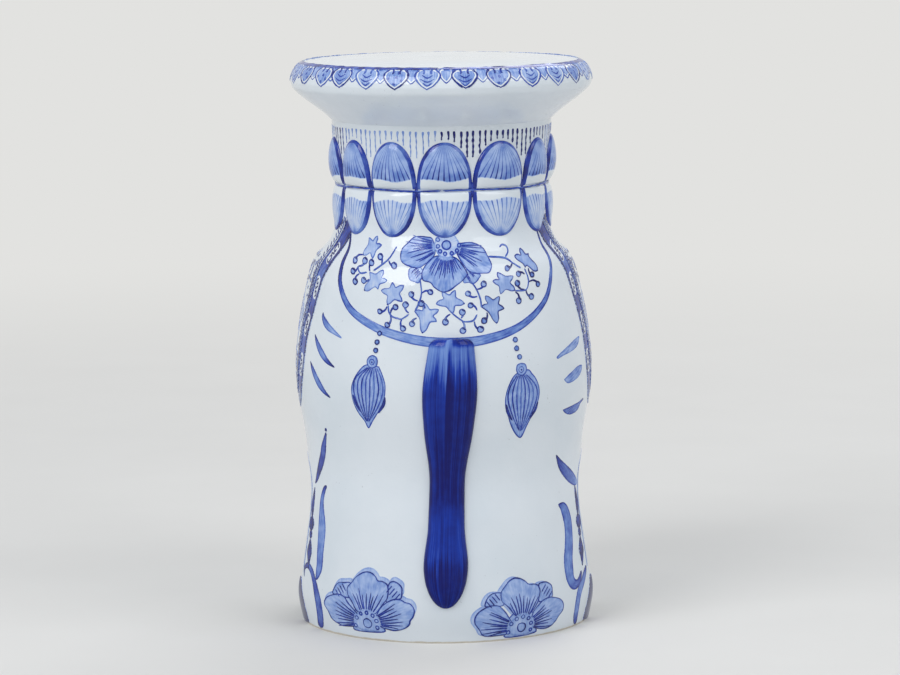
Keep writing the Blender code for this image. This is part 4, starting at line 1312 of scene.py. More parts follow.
CHAIN_HEIGHT = 0.0620
CHAIN_PLACES = ((65.4, -4.0), (114.6, 4.0))
NAIL_ANGLES = (166.0, 152.5, 139.0)
ARCH_LINE = 0.62
CHAIN = (
    ((0, 50), (1.6, 44), (2.2, 34), (0.6, 26), (-1.8, 30), (-2.4, 40), (-1.4, 47)),
    ((0, 27.5), (2.6, 26), (4.4, 21.5), (2.8, 17.5), (0.2, 16.5), (-2.8, 17.5), (-4.6, 21.5), (-2.8, 26)),
    ((0, 17), (2.2, 15), (2, 11.5), (0, 10), (-2.2, 11.5), (-2.2, 15)),
    ((0.2, 10), (2, 6.5), (4.2, 0), (2.6, -6), (0.2, -13), (-2.2, -6), (-4.2, 0), (-2, 6.5)),
)
NAIL_SIDE = ((-9.6, 0.8), (-10.4, 9.0), (-9.4, 17.0), (-5.4, 23.4))


def arch_edge(offset, low):
    """(angle, height) up the hind side of the arch, over it and down again, offset outside its lip."""
    y, z = arch_whole(ARCH_LIP + offset)
    keep = z > low
    y, z = y[keep], z[keep]
    x = reach_across(y, z, 0.0)
    turned = np.where(y > 0.0, y / chest_stretch(z), y)
    return np.degrees(np.arctan2(x, -turned)), z


class STOOL_OT_legs(bpy.types.Operator):
    """Creases on the haunches, strokes down the legs, toenails, chains and the arch's edge"""

    bl_idname = "stool.legs"
    bl_label = "Leg Brushwork"

    def execute(self, context):
        broad, washes, dark = on_body(51), on_body(52), on_body(53)
        for rows in (*CREASES, *LEG_STROKES):
            broad.at().stroke(rows, across=3)
        for rows in (*CREASES[3:], *LEG_STROKES[:2]):
            broad.at(180.0, side=-1.0).stroke(rows, across=3)
        nail = mirrored(NAIL_SIDE, foot=(25.2,))
        dark.dot(-110.8, 163.6, 1.5, 1.1, layer=3)
        for tone, outline in CREASE_LEAVES:
            washes.shape(outline, tone, veins=straight(20.0), count=61)
        for side in (-1.0, 1.0):
            dark.at(side=side).shape(TOE_FILL, 1.15, layer=2, count=41)
        for side in (-1.0, 1.0):
            for angle, lean in CHAIN_PLACES:
                washes.at(side * angle, CHAIN_HEIGHT, lean, 1.03, side)
                for n, outline in enumerate(CHAIN):
                    washes.shape(outline, 1.9, layer=2 + n, count=41)
            angle, z = arch_edge(0.0022, 0.045)
            line = by_angle(np.column_stack((angle, z * 1000.0)))[::3]
            dark.at(side=side).stroke(line, 0.62, across=1, step=2.0, half=ARCH_LINE)
            for n, spot in enumerate(NAIL_ANGLES):
                place = side * spot, 0.0, 0.0, 1.0 - 0.06 * n
                washes.at(*place).shape(nail, 0.8, count=61)
                dark.at(*place).stroke(nail, 0.8, layer=2)
        broad.piece("leg_strokes", line_glaze("leg_brush", 0.95, pool=0.24, pool_width=1.8, streaks=0.30))
        washes.piece("leg_washes", leaf_glaze("leg_wash", 0.72, 0.50, width=0.55, streaks=0.22))
        dark.piece("leg_lines", line_glaze("leg_line_brush", 0.92))
        return {"FINISHED"}


# Half flowers that stand on the ground

# Degrees, height in metres, shift of the halos, and the petals' outlines in millimetres
GROUND_FLOWERS = (
    (-30.85, 0.0141, (1.4, 3.2), (
        (
            (-35.4, 19.8), (-33.5, 25.1), (-29.1, 29.5), (-22.5, 30.8), (-15.7, 31.2), (-14.7, 25),
            (-15.8, 19), (-26, 18.6),
        ),
        (
            (19.6, 33.6), (23.3, 36), (27.7, 34.5), (31.1, 31.4), (31.5, 27.2), (30.6, 22.2), (24, 19.3),
            (17.7, 18.9), (17.8, 26.4),
        ),
        (
            (-10.5, 8.7), (-18, 15.4), (-21.4, 19.2), (-28.4, 20.8), (-36, 18.9), (-42.7, 16.2),
            (-46.3, 12.2), (-46.3, 8.8), (-42.2, 4.3), (-39, -1.3), (-33.8, -4), (-26.5, -5.9),
            (-18.4, -5.4), (-12.9, -4.5), (-8.6, -1.4), (-5.4, 4.1),
        ),
        (
            (10.2, 9.9), (13.1, 14.4), (18.6, 19), (24.9, 21.9), (30.2, 21.7), (33.6, 19.8), (37.9, 18.7),
            (40.8, 15.5), (41.7, 11.8), (40.3, 7.5), (37.8, 4.4), (36.9, 1.4), (34.2, -1.3), (29, -3.7),
            (22.8, -5), (17.4, -4.1), (11.9, -2.8), (7.3, 2.9),
        ),
        (
            (-19.1, 24.1), (-18.5, 27.9), (-14.6, 31.7), (-10.4, 36.4), (-5.1, 40.3), (-0.1, 41.8),
            (4.8, 41.2), (8.6, 38.2), (10.5, 35.5), (14.2, 35.3), (18.7, 33.2), (20, 29.1), (20, 24.9),
            (18.6, 20.6), (15, 16.2), (9.3, 9), (0.1, 4.7), (-9.5, 8.8), (-13.7, 15.1), (-18, 20.4),
        ),
    )),
    (29.9, 0.0098, (-3, 0.8), (
        (
            (-33, 19.6), (-31.7, 25.3), (-27.3, 29.6), (-22, 30.5), (-17.5, 29.3), (-16.7, 24.2),
            (-17.6, 19.3), (-26.5, 19.2),
        ),
        (
            (15.1, 32.9), (17.3, 34.3), (23.5, 34.3), (29.2, 30.6), (30.3, 25.4), (29.6, 20.9),
            (23.2, 19.7), (15.4, 18.6), (14.5, 25.9),
        ),
        (
            (-13.2, 11.3), (-16.7, 15.8), (-21.2, 19.6), (-26.5, 20.4), (-32.6, 19.1), (-38.6, 15.2),
            (-41.2, 10.7), (-40.4, 5.6), (-36.2, 0.2), (-33.2, -4.4), (-27.6, -5.7), (-18.7, -5.6),
            (-12.3, -4.8), (-7.7, 1.3),
        ),
        (
            (9, 9.7), (12.2, 14.4), (18.7, 19.5), (25.5, 21.5), (31.4, 20.6), (39, 18.1), (43.5, 13.5),
            (43.5, 7.9), (38.9, 3.5), (35.7, -0.3), (30.2, -3.9), (23.2, -5), (14.3, -3.2), (8, 0.3),
        ),
        (
            (-19.8, 27), (-18.9, 31.1), (-15.7, 35), (-12, 38.9), (-7.2, 41.1), (-2.5, 40.4), (2.3, 37.8),
            (6.3, 34.4), (11.4, 34.2), (15.1, 32.5), (17.2, 28.1), (16, 23.2), (14.3, 18.4), (10.1, 13),
            (6, 9.2), (-0.9, 6.6), (-7.6, 10.7), (-14, 18.1), (-18.5, 22.3),
        ),
    )),
)
FLOWER_EYES = ((196, 12.1), (160, 10.3), (126, 9.1), (88, 8.6), (50, 8.8), (16, 8.9), (-20, 9.2))
SIDE_HATCHES = ((-26.0, 24.0, 128.0), (24.0, 26.5, 50.0))
FLOWER_FANS = ((128.0, 49.0, 9, 11.0, 30.0), (41.0, -11.0, 8, 11.5, 34.0), (197.0, 145.0, 8, 12.5, 36.0))


def ground_flower(petals, veins, halos, shift, outlines):
    """Lotus seen from the front: side petals behind, three broad ones, and a pad with its eyes."""
    rays = fan()
    for n, outline in enumerate(outlines):
        halos.shape(np.array(outline) + shift, count=61)
        petals.shape(outline, 1.0 + 0.08 * veins.luck.random(), layer=2 + n // 2, veins=rays, count=81)
    ring = [(turn, 15.0) for turn in range(-28, 215, 20)]
    petals.shape(polar(ring), 0.95, layer=1, veins=rays, centre=(0.0, 2.0))
    vein_fan(veins, FLOWER_FANS, (0.8, 0.8), (0.66, 0.34), (0.62, 0.58, 0.28), 0.80, 5)
    for x, y, turn in SIDE_HATCHES:
        for across in (-4.5, -1.5, 1.5, 4.5):
            points = rotated([(far, across) for far in (-4.2, 0.0, 3.6)], turn) + (x, y)
            veins.stroke(points, 0.8, layer=5, across=1, half=0.5)
    pad = polar([(turn, 11.2) for turn in range(-24, 205, 19)])
    halos.shape(np.concatenate((pad, ((-5.0, -6.6), (5.0, -6.4)))), 1.15, layer=6, centre=(0.0, 1.0))
    for x, y in polar(FLOWER_EYES):
        petals.dot(x, y, 1.9, layer=8)
    petals.dot(0.0, -0.2, 4.3, 1.1, layer=8, count=33)


class STOOL_OT_flowers(bpy.types.Operator):
    """Half flowers on the ground, left and right of the tail"""

    bl_idname = "stool.flowers"
    bl_label = "Ground Flowers"

    def execute(self, context):
        petals, veins, halos = on_body(61), on_body(62), on_body(63)
        for angle, height, shift, outlines in GROUND_FLOWERS:
            for drawing in (petals, veins, halos):
                drawing.at(angle, height)
            ground_flower(petals, veins, halos, shift, outlines)
        petals.piece("ground_flowers", leaf_glaze("ground_flower_paint", 0.88, 0.37, width=0.9, streaks=0.14))
        veins.piece("ground_flower_veins", line_glaze("ground_vein_brush", 1.0))
        halos.piece("ground_flower_halos", leaf_glaze("halo_paint", 0.30, 0.30, width=0.6, streaks=0.10))
        return {"FINISHED"}


# Saddle cloth on the sides

# Degrees and height in millimetres down the rear edge to the lowest point, on each side
CLOTH_EDGES = {
    -1.0: (
        (60, 330), (61, 319), (64.6, 290), (66.2, 274), (68, 257), (70.6, 236), (71.6, 218.5),
        (74.2, 201), (79, 187), (85, 180.5), (92, 179),
    ),
    1.0: (
        (65, 330), (66.6, 319), (69, 295), (71.2, 271), (74.4, 241), (75.6, 213), (78, 198), (82, 186),
        (87, 180.5), (92, 179),
    ),
}
BAND_HALF_WIDTH = 5.6
BAND_LINES = (
    (-BAND_HALF_WIDTH, 0.95, 1.12), (BAND_HALF_WIDTH, 0.6, 1.0), (BAND_HALF_WIDTH + 3.0, 0.55, 0.95),
)
FRINGE = 10.2, 15.5
PATCH_STEP = 34.0
FIELD_ANGLE = 91.0
FIELD_HEIGHT = 0.2500
FIELD_SIZE = 0.86
SCROLL = (
    (-4, 31, 0.6), (-13, 36.5, 1.2), (-22.5, 35, 1.2), (-27, 42, 1.1), (-22.5, 50.5, 1.1),
    (-14.5, 49.5, 1), (-13.5, 43.5, 0.9), (-18, 42.5, 0.6),
)
SCROLL_LEAVES = (
    (-8, 38.5, 62, 8.5), (-17, 31, -20, 8), (-29.5, 36, -150, 7), (-29, 48, 140, 7.5), (-16, 55.5, 70, 7),
    (-6.5, 48, 20, 7),
)
LEAF_BLADE = ((0.0, 0.0), (0.30, 0.26), (0.62, 0.22), (1.0, 0.0), (0.62, -0.20), (0.30, -0.28))
SCROLL_DOTS = ((-27.5, 27.0), (-31.0, 20.0), (-5.0, 57.0), (0.0, 45.0), (-24.0, 57.0))
PATCH_HALF = ((-9.2, -2.5), (-9.2, 2.5), (-4.0, 3.3), (4.0, 3.3))
PATCH_SIGNS = (
    (((-7.5, -2.2), (-7.5, 2.4), (-2.4, 2.4), (-2.4, -0.6), (-5.0, -0.6)), ((-2.0, -2.8), (2.0, 2.8))),
    (
        ((-8.0, 0.0), (-5.6, 2.6), (-3.0, 1.4), (-3.6, -0.8), (-5.4, -0.4)),
        ((-2.6, -2.6), (0.0, 0.0), (2.6, 2.6)),
        ((-0.6, 2.4), (0.8, 1.2)),
    ),
)


class STOOL_OT_cloth(bpy.types.Operator):
    """Saddle cloth on both sides: a band with key patches, and a flower among scrolls"""

    bl_idname = "stool.cloth"
    bl_label = "Saddle Cloth"

    def execute(self, context):
        band, lines, patches, fills = (on_body(seed) for seed in (71, 72, 73, 74))
        for side, back in CLOTH_EDGES.items():
            front = [(180.0 - angle, z) for angle, z in back[-2::-1]]
            path = smooth_line(by_angle((*back, *front)), 181)
            ahead, beside = directions(path)
            for drawing in (band, lines, patches):
                drawing.at(side=side)
            load = 0.86 + 0.12 * np.sin(np.arange(len(path)) * 0.21)
            rows = np.column_stack((path, np.full(len(path), BAND_HALF_WIDTH), load))
            band.stroke(rows[::3], across=3, step=1.5)
            for shift, width, tone in BAND_LINES:
                line = path + beside * shift
                lines.stroke(line[::3], tone, layer=7, across=1, step=2.0, half=width)
            self.patches(patches, lines, path, ahead, beside)
            for n in range(2, len(path) - 2):
                reaches = FRINGE[0], FRINGE[1] + 0.8 * math.sin(n * 1.7)
                near, far = (path[n] + beside[n] * reach for reach in reaches)
                hatch = near, 0.5 * (near + far), far
                lines.stroke(hatch, 1.15, layer=3, across=1, step=3.0, half=(0.75, 0.95, 0.45))
            for drawing in (fills, lines):
                drawing.at(side * FIELD_ANGLE, FIELD_HEIGHT, 0.0, FIELD_SIZE, side)
            self.field(fills, lines)
        band.piece("cloth_band", line_glaze("band_brush", 0.90, pool_width=1.2, streaks=0.55))
        patches.piece("cloth_patches", reserve_glaze())
        fills.piece("cloth_leaves", leaf_glaze("cloth_paint", 0.98, 0.62, width=0.8, streaks=0.3))
        lines.piece("cloth_lines", line_glaze("cloth_brush", 0.98))
        return {"FINISHED"}

    def patches(self, patches, lines, path, ahead, beside):
        """White fields on the band, each with a square key or a pair of scrolls."""
        run = run_along(path)
        half = np.array(PATCH_HALF)
        for n, start in enumerate(np.arange(24.0, run[-1] - 30.0, PATCH_STEP)):
            i = int(np.searchsorted(run, start + 8.5))
            axes = np.array((ahead[i], beside[i]))
            patches.shape(path[i] + np.concatenate((half, -half)) @ axes, 0.0, layer=3, count=41)
            curl, *others = PATCH_SIGNS[n % 2]
            for stroke in (curl, -np.array(curl), *others):
                points = path[i] + (np.array(stroke) * (1.0, 0.85)) @ axes
                lines.stroke(points, 1.15, layer=5, across=1, step=0.8, half=0.72)

    def field(self, fills, lines):
        """Open flower of five petals with scrolls and leaves above and below it."""
        petal = np.array(GROUND_FLOWERS[1][3][4]) * 0.72
        for n in range(5):
            turn = 72.0 * n
            fills.shape(rotated(petal, turn), 0.62, layer=1 + n % 2, veins=fan(), count=81)
            for vein in np.linspace(-32.0, 32.0, 7):
                points = polar(((90.0 + turn + vein, 9.0), (90.0 + turn + vein, 19.0 - 0.12 * abs(vein))))
                lines.stroke(points, 0.95, layer=4, across=1, half=(0.8, 0.35))
        fills.dot(0.0, 0.0, 7.4, 0.5, layer=4, count=33)
        for x, y in polar([(turn, 5.0) for turn in range(0, 360, 60)]):
            fills.dot(x, y, 1.5, 1.1, layer=6, count=13)
        fills.dot(0.0, 0.0, 2.2, 1.1, layer=6)
        for flip in (-1.0, 1.0):
            for lift in (-1.0, 1.0):
                lines.stroke(np.array(SCROLL) * (flip, lift, 1.25), layer=3)
                for x, y, turn, length in SCROLL_LEAVES:
                    blade = rotated(LEAF_BLADE, turn) * length + (x, y)
                    fills.shape(blade * (flip, lift), layer=2, count=33)
                for x, y in SCROLL_DOTS:
                    lines.dot(x * flip, y * lift, 1.6, layer=3, count=11)


# Tail

TAIL_TOP = BACK_HEIGHT - 0.0363
TAIL_LENGTH = 0.2137
TAIL_WIDTHS = (
    (0, 0.0172), (0.044, 0.0217), (0.072, 0.0196), (0.116, 0.014), (0.15, 0.0146), (0.181, 0.0177),
    (0.2137, 0.0177),
)
TAIL_ROUNDING = 0.0062
TAIL_TUFT = 0.034
TAIL_RELIEF = 0.0085
TAIL_LEAN = 0.0066
# Depths as shares of the relief, turns and widths in radians round a ring
GROOVE_DEPTH, GROOVE_TURN, GROOVE_WIDTH = 0.10, -0.12, 0.16
PARTING_DEPTH, PARTING_TURN, PARTING_WIDTH = 0.55, -0.30, 0.20
PARTING_LENGTH, PARTING_FADE = 0.016, 0.014


def tail_grid():
    """The tail's skin: oval rings centred on the rump's skin, from the root to the round tuft.

    Each ring is as wide as a curve through the tail's widths says, and leans aside by a power of
    what is left of the tail. A shallow groove runs down its middle and parts the tuft's end.
    """
    half_width = curve_through(TAIL_WIDTHS)
    tuft_start = TAIL_LENGTH - TAIL_TUFT
    turn = np.linspace(0.0, 0.5 * math.pi, 14)
    root = TAIL_ROUNDING * (1.0 - np.cos(np.linspace(0.0, 0.5 * math.pi, 10)[:-1]))
    length = np.linspace(TAIL_ROUNDING, tuft_start, 88)
    drop = np.concatenate((root, length, tuft_start + TAIL_TUFT * np.sin(turn[1:])))
    size = np.concatenate((np.ones(len(root) + len(length)), np.cos(turn[1:]).clip(0.01)))
    rounding = (1.0 - drop / TAIL_ROUNDING).clip(0.0)
    size -= TAIL_ROUNDING / TAIL_WIDTHS[0][1] * (1.0 - np.sqrt(1.0 - rounding**2))
    around = np.linspace(0.0, math.tau, 56, endpoint=False)
    middle = TAIL_LEAN * (1.0 - drop / TAIL_LENGTH) ** 1.5
    x = middle[:, None] + (half_width(drop) * size)[:, None] * np.cos(around)
    z = (TAIL_TOP - drop)[:, None] + 0.0 * x
    rump = np.sqrt(body_radius(z) ** 2 - x**2)
    off = around - 0.5 * math.pi
    groove = GROOVE_DEPTH * np.exp(-(((off - GROOVE_TURN) / GROOVE_WIDTH) ** 2))
    parting = PARTING_DEPTH * smoothstep((drop - TAIL_LENGTH + PARTING_LENGTH) / PARTING_FADE)[:, None]
    parting = parting * np.exp(-(((off - PARTING_TURN) / PARTING_WIDTH) ** 2))
    out = (TAIL_RELIEF * size)[:, None] * np.sin(around) * (1.0 - groove) * (1.0 - parting)
    return np.stack((x, -rump - out, z), axis=-1), around, drop


class STOOL_OT_tail(bpy.types.Operator):
    """Blue tail in relief down the rump"""

    bl_idname = "stool.tail"
    bl_label = "Tail"

    def execute(self, context):
        rings, around, drop = tail_grid()
        grid = closed_loft(rings)
        around = np.append(around, math.tau)
        across = 0.5 * (1.0 - np.cos(around))
        along = np.concatenate(([0.0], drop, [TAIL_LENGTH])) * 10.0
        uv = np.stack(np.broadcast_arrays(across[None, :], along[:, None]), axis=-1)
        add_piece("painted_tail", [grid], tail_glaze(), uv=uv, replaced=("tail",))
        return {"FINISHED"}


# Head, trunk, ears and tusks

HEAD_HEIGHT = 0.262
HEAD_HALF_WIDTH = 0.066
HEAD_HALF_HEIGHT = 0.062
HEAD_LENGTH = 0.069
HEAD_FAN = (
    ((-0.65, 0.80), (-0.58, -0.72), 0.73),
    ((-0.07, 1.03), (-0.26, -0.84), 0.94),
    ((0.32, 0.97), (-0.09, -0.94), 1.0),
    ((0.67, 0.65), (0.04, -1.0), 0.94),
    ((0.90, 0.16), (0.13, -1.05), 0.80),
    ((1.0, -0.39), (0.17, -1.11), 0.65),
)
FOREHEAD_SWELL = 0.07
# Places and reaches count the sections down from the crown; turns and widths are in radians
FOREHEAD_PLACE, FOREHEAD_REACH = 2.4, 1.9
LOBE_TURN, LOBE_WIDTH = 0.75, 0.4
SOCKET_DEPTH = 0.035
SOCKET_PLACE, SOCKET_REACH = 3.15, 0.55
SOCKET_TURN, SOCKET_WIDTH = 1.12, 0.30
RING_HEIGHT = 0.016
RINGS_PER_SECTION = 3.2
TRUNK_ROOT_RADIUS = 0.0290
TRUNK_TIP_RADIUS = 0.0125
TRUNK_CURL_RADIUS = 0.020
TRUNK_CURL_ANGLE = 150.0
TRUNK_GROUND_CLEARANCE = 0.012
TRUNK_LEAN = 0.015
TRUNK_BED_SHARE = 0.1
TUSK_HEIGHT = 0.216
TUSK_RADIUS = 0.0080
TUSK_LENGTH = 0.050
TUSK_ROOT_DEPTH = 0.024
TUSK_SPREAD = 0.036
TUSK_SPLAY = 0.15
TUSK_SAG = 0.012
TUSK_TAPER = ((0.0, 1.0), (0.3, 0.98), (0.6, 0.82), (0.85, 0.55), (0.97, 0.32), (1.0, 0.10))
EAR_ANGLE = 134.0
EAR_MIDDLE = BACK_HEIGHT - 0.022
EAR_HALF_WIDTH = 0.046
EAR_UPPER_HEIGHT = 0.050
EAR_LOWER_HEIGHT = 0.084
EAR_SWEEP = 0.013
EAR_POINT = 0.35
EAR_THICKNESS = 0.008
EAR_PLEATS = 9.0
PLEAT_HEIGHT = 0.16
EAR_SECTION = (
    (0.04, 0.42), (0.4, 0.46), (0.72, 0.72), (0.9, 1), (1, 0.55), (1, -0.25), (0.6, -0.25), (0.04, -0.25),
)


def face_stations():
    """Front point, back point and half width of each section, down the head and the trunk.

    The head's sections fan out from the throat. The trunk's lie one under another on a straight
    fall that comes to rest on the chest, and then turn round the curl.
    """
    chest = chest_y(HEAD_HEIGHT)
    stations = []
    for front, back, width in HEAD_FAN:
        ends = [(chest + y * HEAD_LENGTH, HEAD_HEIGHT + z * HEAD_HALF_HEIGHT) for y, z in (front, back)]
        stations.append((*ends[0], *ends[1], width * HEAD_HALF_WIDTH))
    throat_height = stations[-1][3]
    root, curl_start = TRUNK_ROOT_RADIUS, 1.15 * TRUNK_TIP_RADIUS
    curl_height = TRUNK_GROUND_CLEARANCE + TRUNK_TIP_RADIUS + TRUNK_CURL_RADIUS
    fall = throat_height - 0.4 * root - curl_height
    for share in (0.08, 0.24, 0.42, 0.62, 0.82, 1.0):
        radius = root + (curl_start - root) * share
        height = curl_height + fall * (1.0 - share)
        off_chest = (1.0 - share) ** 3
        tilt = 0.7 * radius * off_chest
        back_y = float(chest_y(height)) - TRUNK_BED_SHARE * radius + 0.3 * TRUNK_LEAN * off_chest
        front_y = back_y + 2.0 * radius + 0.7 * TRUNK_LEAN * off_chest
        stations.append((front_y, height + tilt, back_y, height - tilt, radius))
    start_y = 0.5 * (front_y + back_y)
    for n in range(1, 6):
        turn = math.radians(TRUNK_CURL_ANGLE * n / 5)
        radius = curl_start + (TRUNK_TIP_RADIUS - curl_start) * n / 5
        y = start_y + TRUNK_CURL_RADIUS * (1.0 - math.cos(turn))
        z = curl_height - TRUNK_CURL_RADIUS * math.sin(turn)
        lean_y, lean_z = radius * math.cos(turn), radius * math.sin(turn)
        stations.append((y + lean_y, z + lean_z, y - lean_y, z - lean_z, radius))
    return stations


def face(place, turn, lift=0.0):
    """Points on the head and trunk: a place down the sections and a turn from the front.

    A section is an oval from its front point to its back point. Two swellings stand on the
    forehead, a socket is pressed in at each eye, and rings run round the trunk.
    """
    front_y, front_z, back_y, back_z, width = (curve_over(values)(place) for values in zip(*face_stations()))
    half_y, half_z = 0.5 * (front_y - back_y), 0.5 * (front_z - back_z)
    size = np.hypot(half_y, half_z)
    from_front = np.abs((turn + math.pi) % math.tau - math.pi)
    up_the_face = (1.0 - ((place - FOREHEAD_PLACE) / FOREHEAD_REACH) ** 2).clip(0.0)
    lobes = FOREHEAD_SWELL * up_the_face * np.exp(-(((from_front - LOBE_TURN) / LOBE_WIDTH) ** 2))
    down, aside = (place - SOCKET_PLACE) / SOCKET_REACH, (from_front - SOCKET_TURN) / SOCKET_WIDTH
    socket = SOCKET_DEPTH * np.exp(-(down**2) - aside**2)
    on_trunk = smoothstep((place - 5.2) / 1.2) * smoothstep(15.5 - place)
    rings = RING_HEIGHT * on_trunk * np.cos(math.tau * RINGS_PER_SECTION * place)
    swell = 1.0 + lobes - socket + rings * np.cos(0.5 * from_front) ** 2
    along = 1.0 + np.cos(turn) * (swell + lift / size)
    x = np.sin(turn) * (width * swell + lift)
    return np.stack(np.broadcast_arrays(x, back_y + half_y * along, back_z + half_z * along), axis=-1)


def trunk_tip(rings):
    """The last rings, drawn in to a rounded end."""
    middle = rings[-1].mean(axis=0)
    ahead = middle - rings[-2].mean(axis=0)
    ahead /= np.linalg.norm(ahead)
    turn = np.radians(np.linspace(8.0, 84.0, 8))[:, None, None]
    return middle + np.cos(turn) * (rings[-1] - middle) + TRUNK_TIP_RADIUS * np.sin(turn) * ahead


def ear_skin(side, step, turn, raised=0.0):
    """Points on an ear over the shoulder, a step out from its middle and a turn round it.

    Ovals grow from the middle to the rim and turn in behind it. The lower half narrows by a power
    of the way down and sweeps back. The front is dished inside a raised rim, and soft pleats run
    out from the top towards the lower edge.
    """
    size, lift = (curve_over(values)(step) for values in zip(*EAR_SECTION))
    up = np.sin(turn)
    lower = (-up).clip(0.0)
    half_width = EAR_HALF_WIDTH * (1.0 - EAR_POINT * lower**1.5)
    across = size * (half_width * np.cos(turn) - EAR_SWEEP * lower)
    z = EAR_MIDDLE + size * up * np.where(up > 0.0, EAR_UPPER_HEIGHT, EAR_LOWER_HEIGHT)
    pleats = PLEAT_HEIGHT * np.cos(EAR_PLEATS * turn) * lower * smoothstep(size / 0.7) * (step < 4.0)
    angle = EAR_ANGLE + np.degrees(across / body_radius(z))
    return skin(side * angle, z, (lift + pleats) * EAR_THICKNESS + raised)


def tusk_grid(side):
    """Tapering round bar along a shallow sagging curve, its point turned up."""
    share = np.linspace(0.0, 1.0, 40)
    width = curve_through(TUSK_TAPER)(share)
    reach = share * (TUSK_ROOT_DEPTH + TUSK_LENGTH)
    x = side * (TUSK_SPREAD + TUSK_SPLAY * reach)
    y = float(chest_y(TUSK_HEIGHT)) + TUSK_ROOT_DEPTH + reach
    z = TUSK_HEIGHT - TUSK_SAG * 4.0 * share * (1.0 - share)
    line = np.stack((x, y, z), axis=-1)
    ahead = np.gradient(line, axis=0)
    ahead /= np.linalg.norm(ahead, axis=1, keepdims=True)
    beside = np.cross(ahead, (0.0, 0.0, 1.0))
    beside /= np.linalg.norm(beside, axis=1, keepdims=True)
    above = np.cross(beside, ahead)
    turn = np.linspace(0.0, math.tau, 32, endpoint=False)[None, :, None]
    radius = (TUSK_RADIUS * width)[:, None, None]
    return line[:, None] + radius * (np.cos(turn) * beside[:, None] + np.sin(turn) * above[:, None])


class STOOL_OT_head(bpy.types.Operator):
    """Head and trunk in one skin, ears on the shoulders, and tusks"""

    bl_idname = "stool.head"
    bl_label = "Head, Ears and Tusks"

    def execute(self, context):
        glaze = plain_glaze()
        place = np.linspace(0.0, len(face_stations()) - 1.0, 200)[:, None]
        rings = face(place, np.linspace(0.0, math.tau, 112, endpoint=False))
        grid = closed_loft(np.concatenate((rings, trunk_tip(rings))))
        add_piece("glazed_head", [grid], glaze, replaced=("head", "trunk"), sharp=60.0)
        step = np.linspace(0.0, len(EAR_SECTION) - 1.0, 71)[:, None]
        turn = np.linspace(0.0, math.tau, 96, endpoint=False)
        for side, name in ((-1.0, "left"), (1.0, "right")):
            ear, tusk = closed_loft(ear_skin(side, step, turn)), closed_loft(tusk_grid(side))
            replaced = (f"ear_{name}",)
            add_piece(f"glazed_ear_{name}", [ear], glaze, replaced=replaced, sharp=60.0)
            add_piece(f"glazed_tusk_{name}", [tusk], glaze, replaced=(f"tusk_{name}",))
        return {"FINISHED"}


# Brushwork on the face, trunk and ears

BROW_LEVEL = -0.034
BROW_SAG = 0.0016
EYE = ((-12.5, -0.5), (-7.5, 4), (0, 5.8), (7.5, 3.6), (13, -2.2), (6.5, -4.6), (0, -5.2), (-7, -3.6))
BROW = ((-13.5, 6.5, 0.6), (-6.0, 10.8, 1.3), (3.0, 11.6, 1.5), (11.0, 8.0, 1.2), (17.0, 2.5, 0.5))
EYE_WRINKLES = (
    ((-10.5, -7.6, 0.4), (-2.0, -9.6, 0.8), (8.0, -8.4, 0.4)),
    ((-7.5, -12.0, 0.4), (0.0, -13.4, 0.7), (7.0, -12.6, 0.4)),
)
PENDANT_SIDES = (
    (((-8.0, 0.0), (-10.4, -4.6), (-9.0, -8.6), (-4.6, -13.0)), -17.0, 1.0),
    (((-3.4, -4.0), (-5.0, -6.6), (-3.0, -9.4)), -12.0, -5.0),
)
EYE_ANGLE = 60.0
EYE_LEVEL = -0.084
BAND_STRIPES = ((2.6, 0.7, 0.95), (-2.6, 0.7, 0.95), (0.0, 1.9, 0.5))
PENDANTS = ((-33.0, 0.75), (0.0, 1.0), (33.0, 0.75))
TRUNK_WRINKLES = 0.142, 0.285, 0.0092
EAR_RIM = 51.5
EAR_VEINS = (205, 226, 245, 262, 278, 296, 317, 340, 10, 42, 74, 106, 138, 172)
EAR_REACH = 0.060


def on_face(seed):
    """Drawing on the face and trunk: its level is minus the way down the front from the crown."""
    stations = list(zip(*face_stations()))
    front_y, front_z, half_width = (curve_over(stations[n]) for n in (0, 1, 4))
    place = np.linspace(0.9, 14.5, 300)
    run = run_along(np.stack((front_y(place), front_z(place)), axis=1))

    def surface(angle, level, lift):
        return face(np.interp(-level, run, place), np.radians(angle), lift)

    def radius(level):
        return half_width(np.interp(-level, run, place))

    return Drawing(surface, radius, seed)


def on_ear(side, seed):
    """Drawing on an ear's front: degrees round its middle, and a level out from it."""
    step = np.linspace(0.0, 3.0, 61)
    size = curve_over([reach for reach, _ in EAR_SECTION])(step)

    def surface(angle, level, lift):
        return ear_skin(side, np.interp(level / EAR_REACH, size, step), np.radians(angle), lift)

    return Drawing(surface, lambda level: np.maximum(level, 0.2 * EAR_REACH), seed)


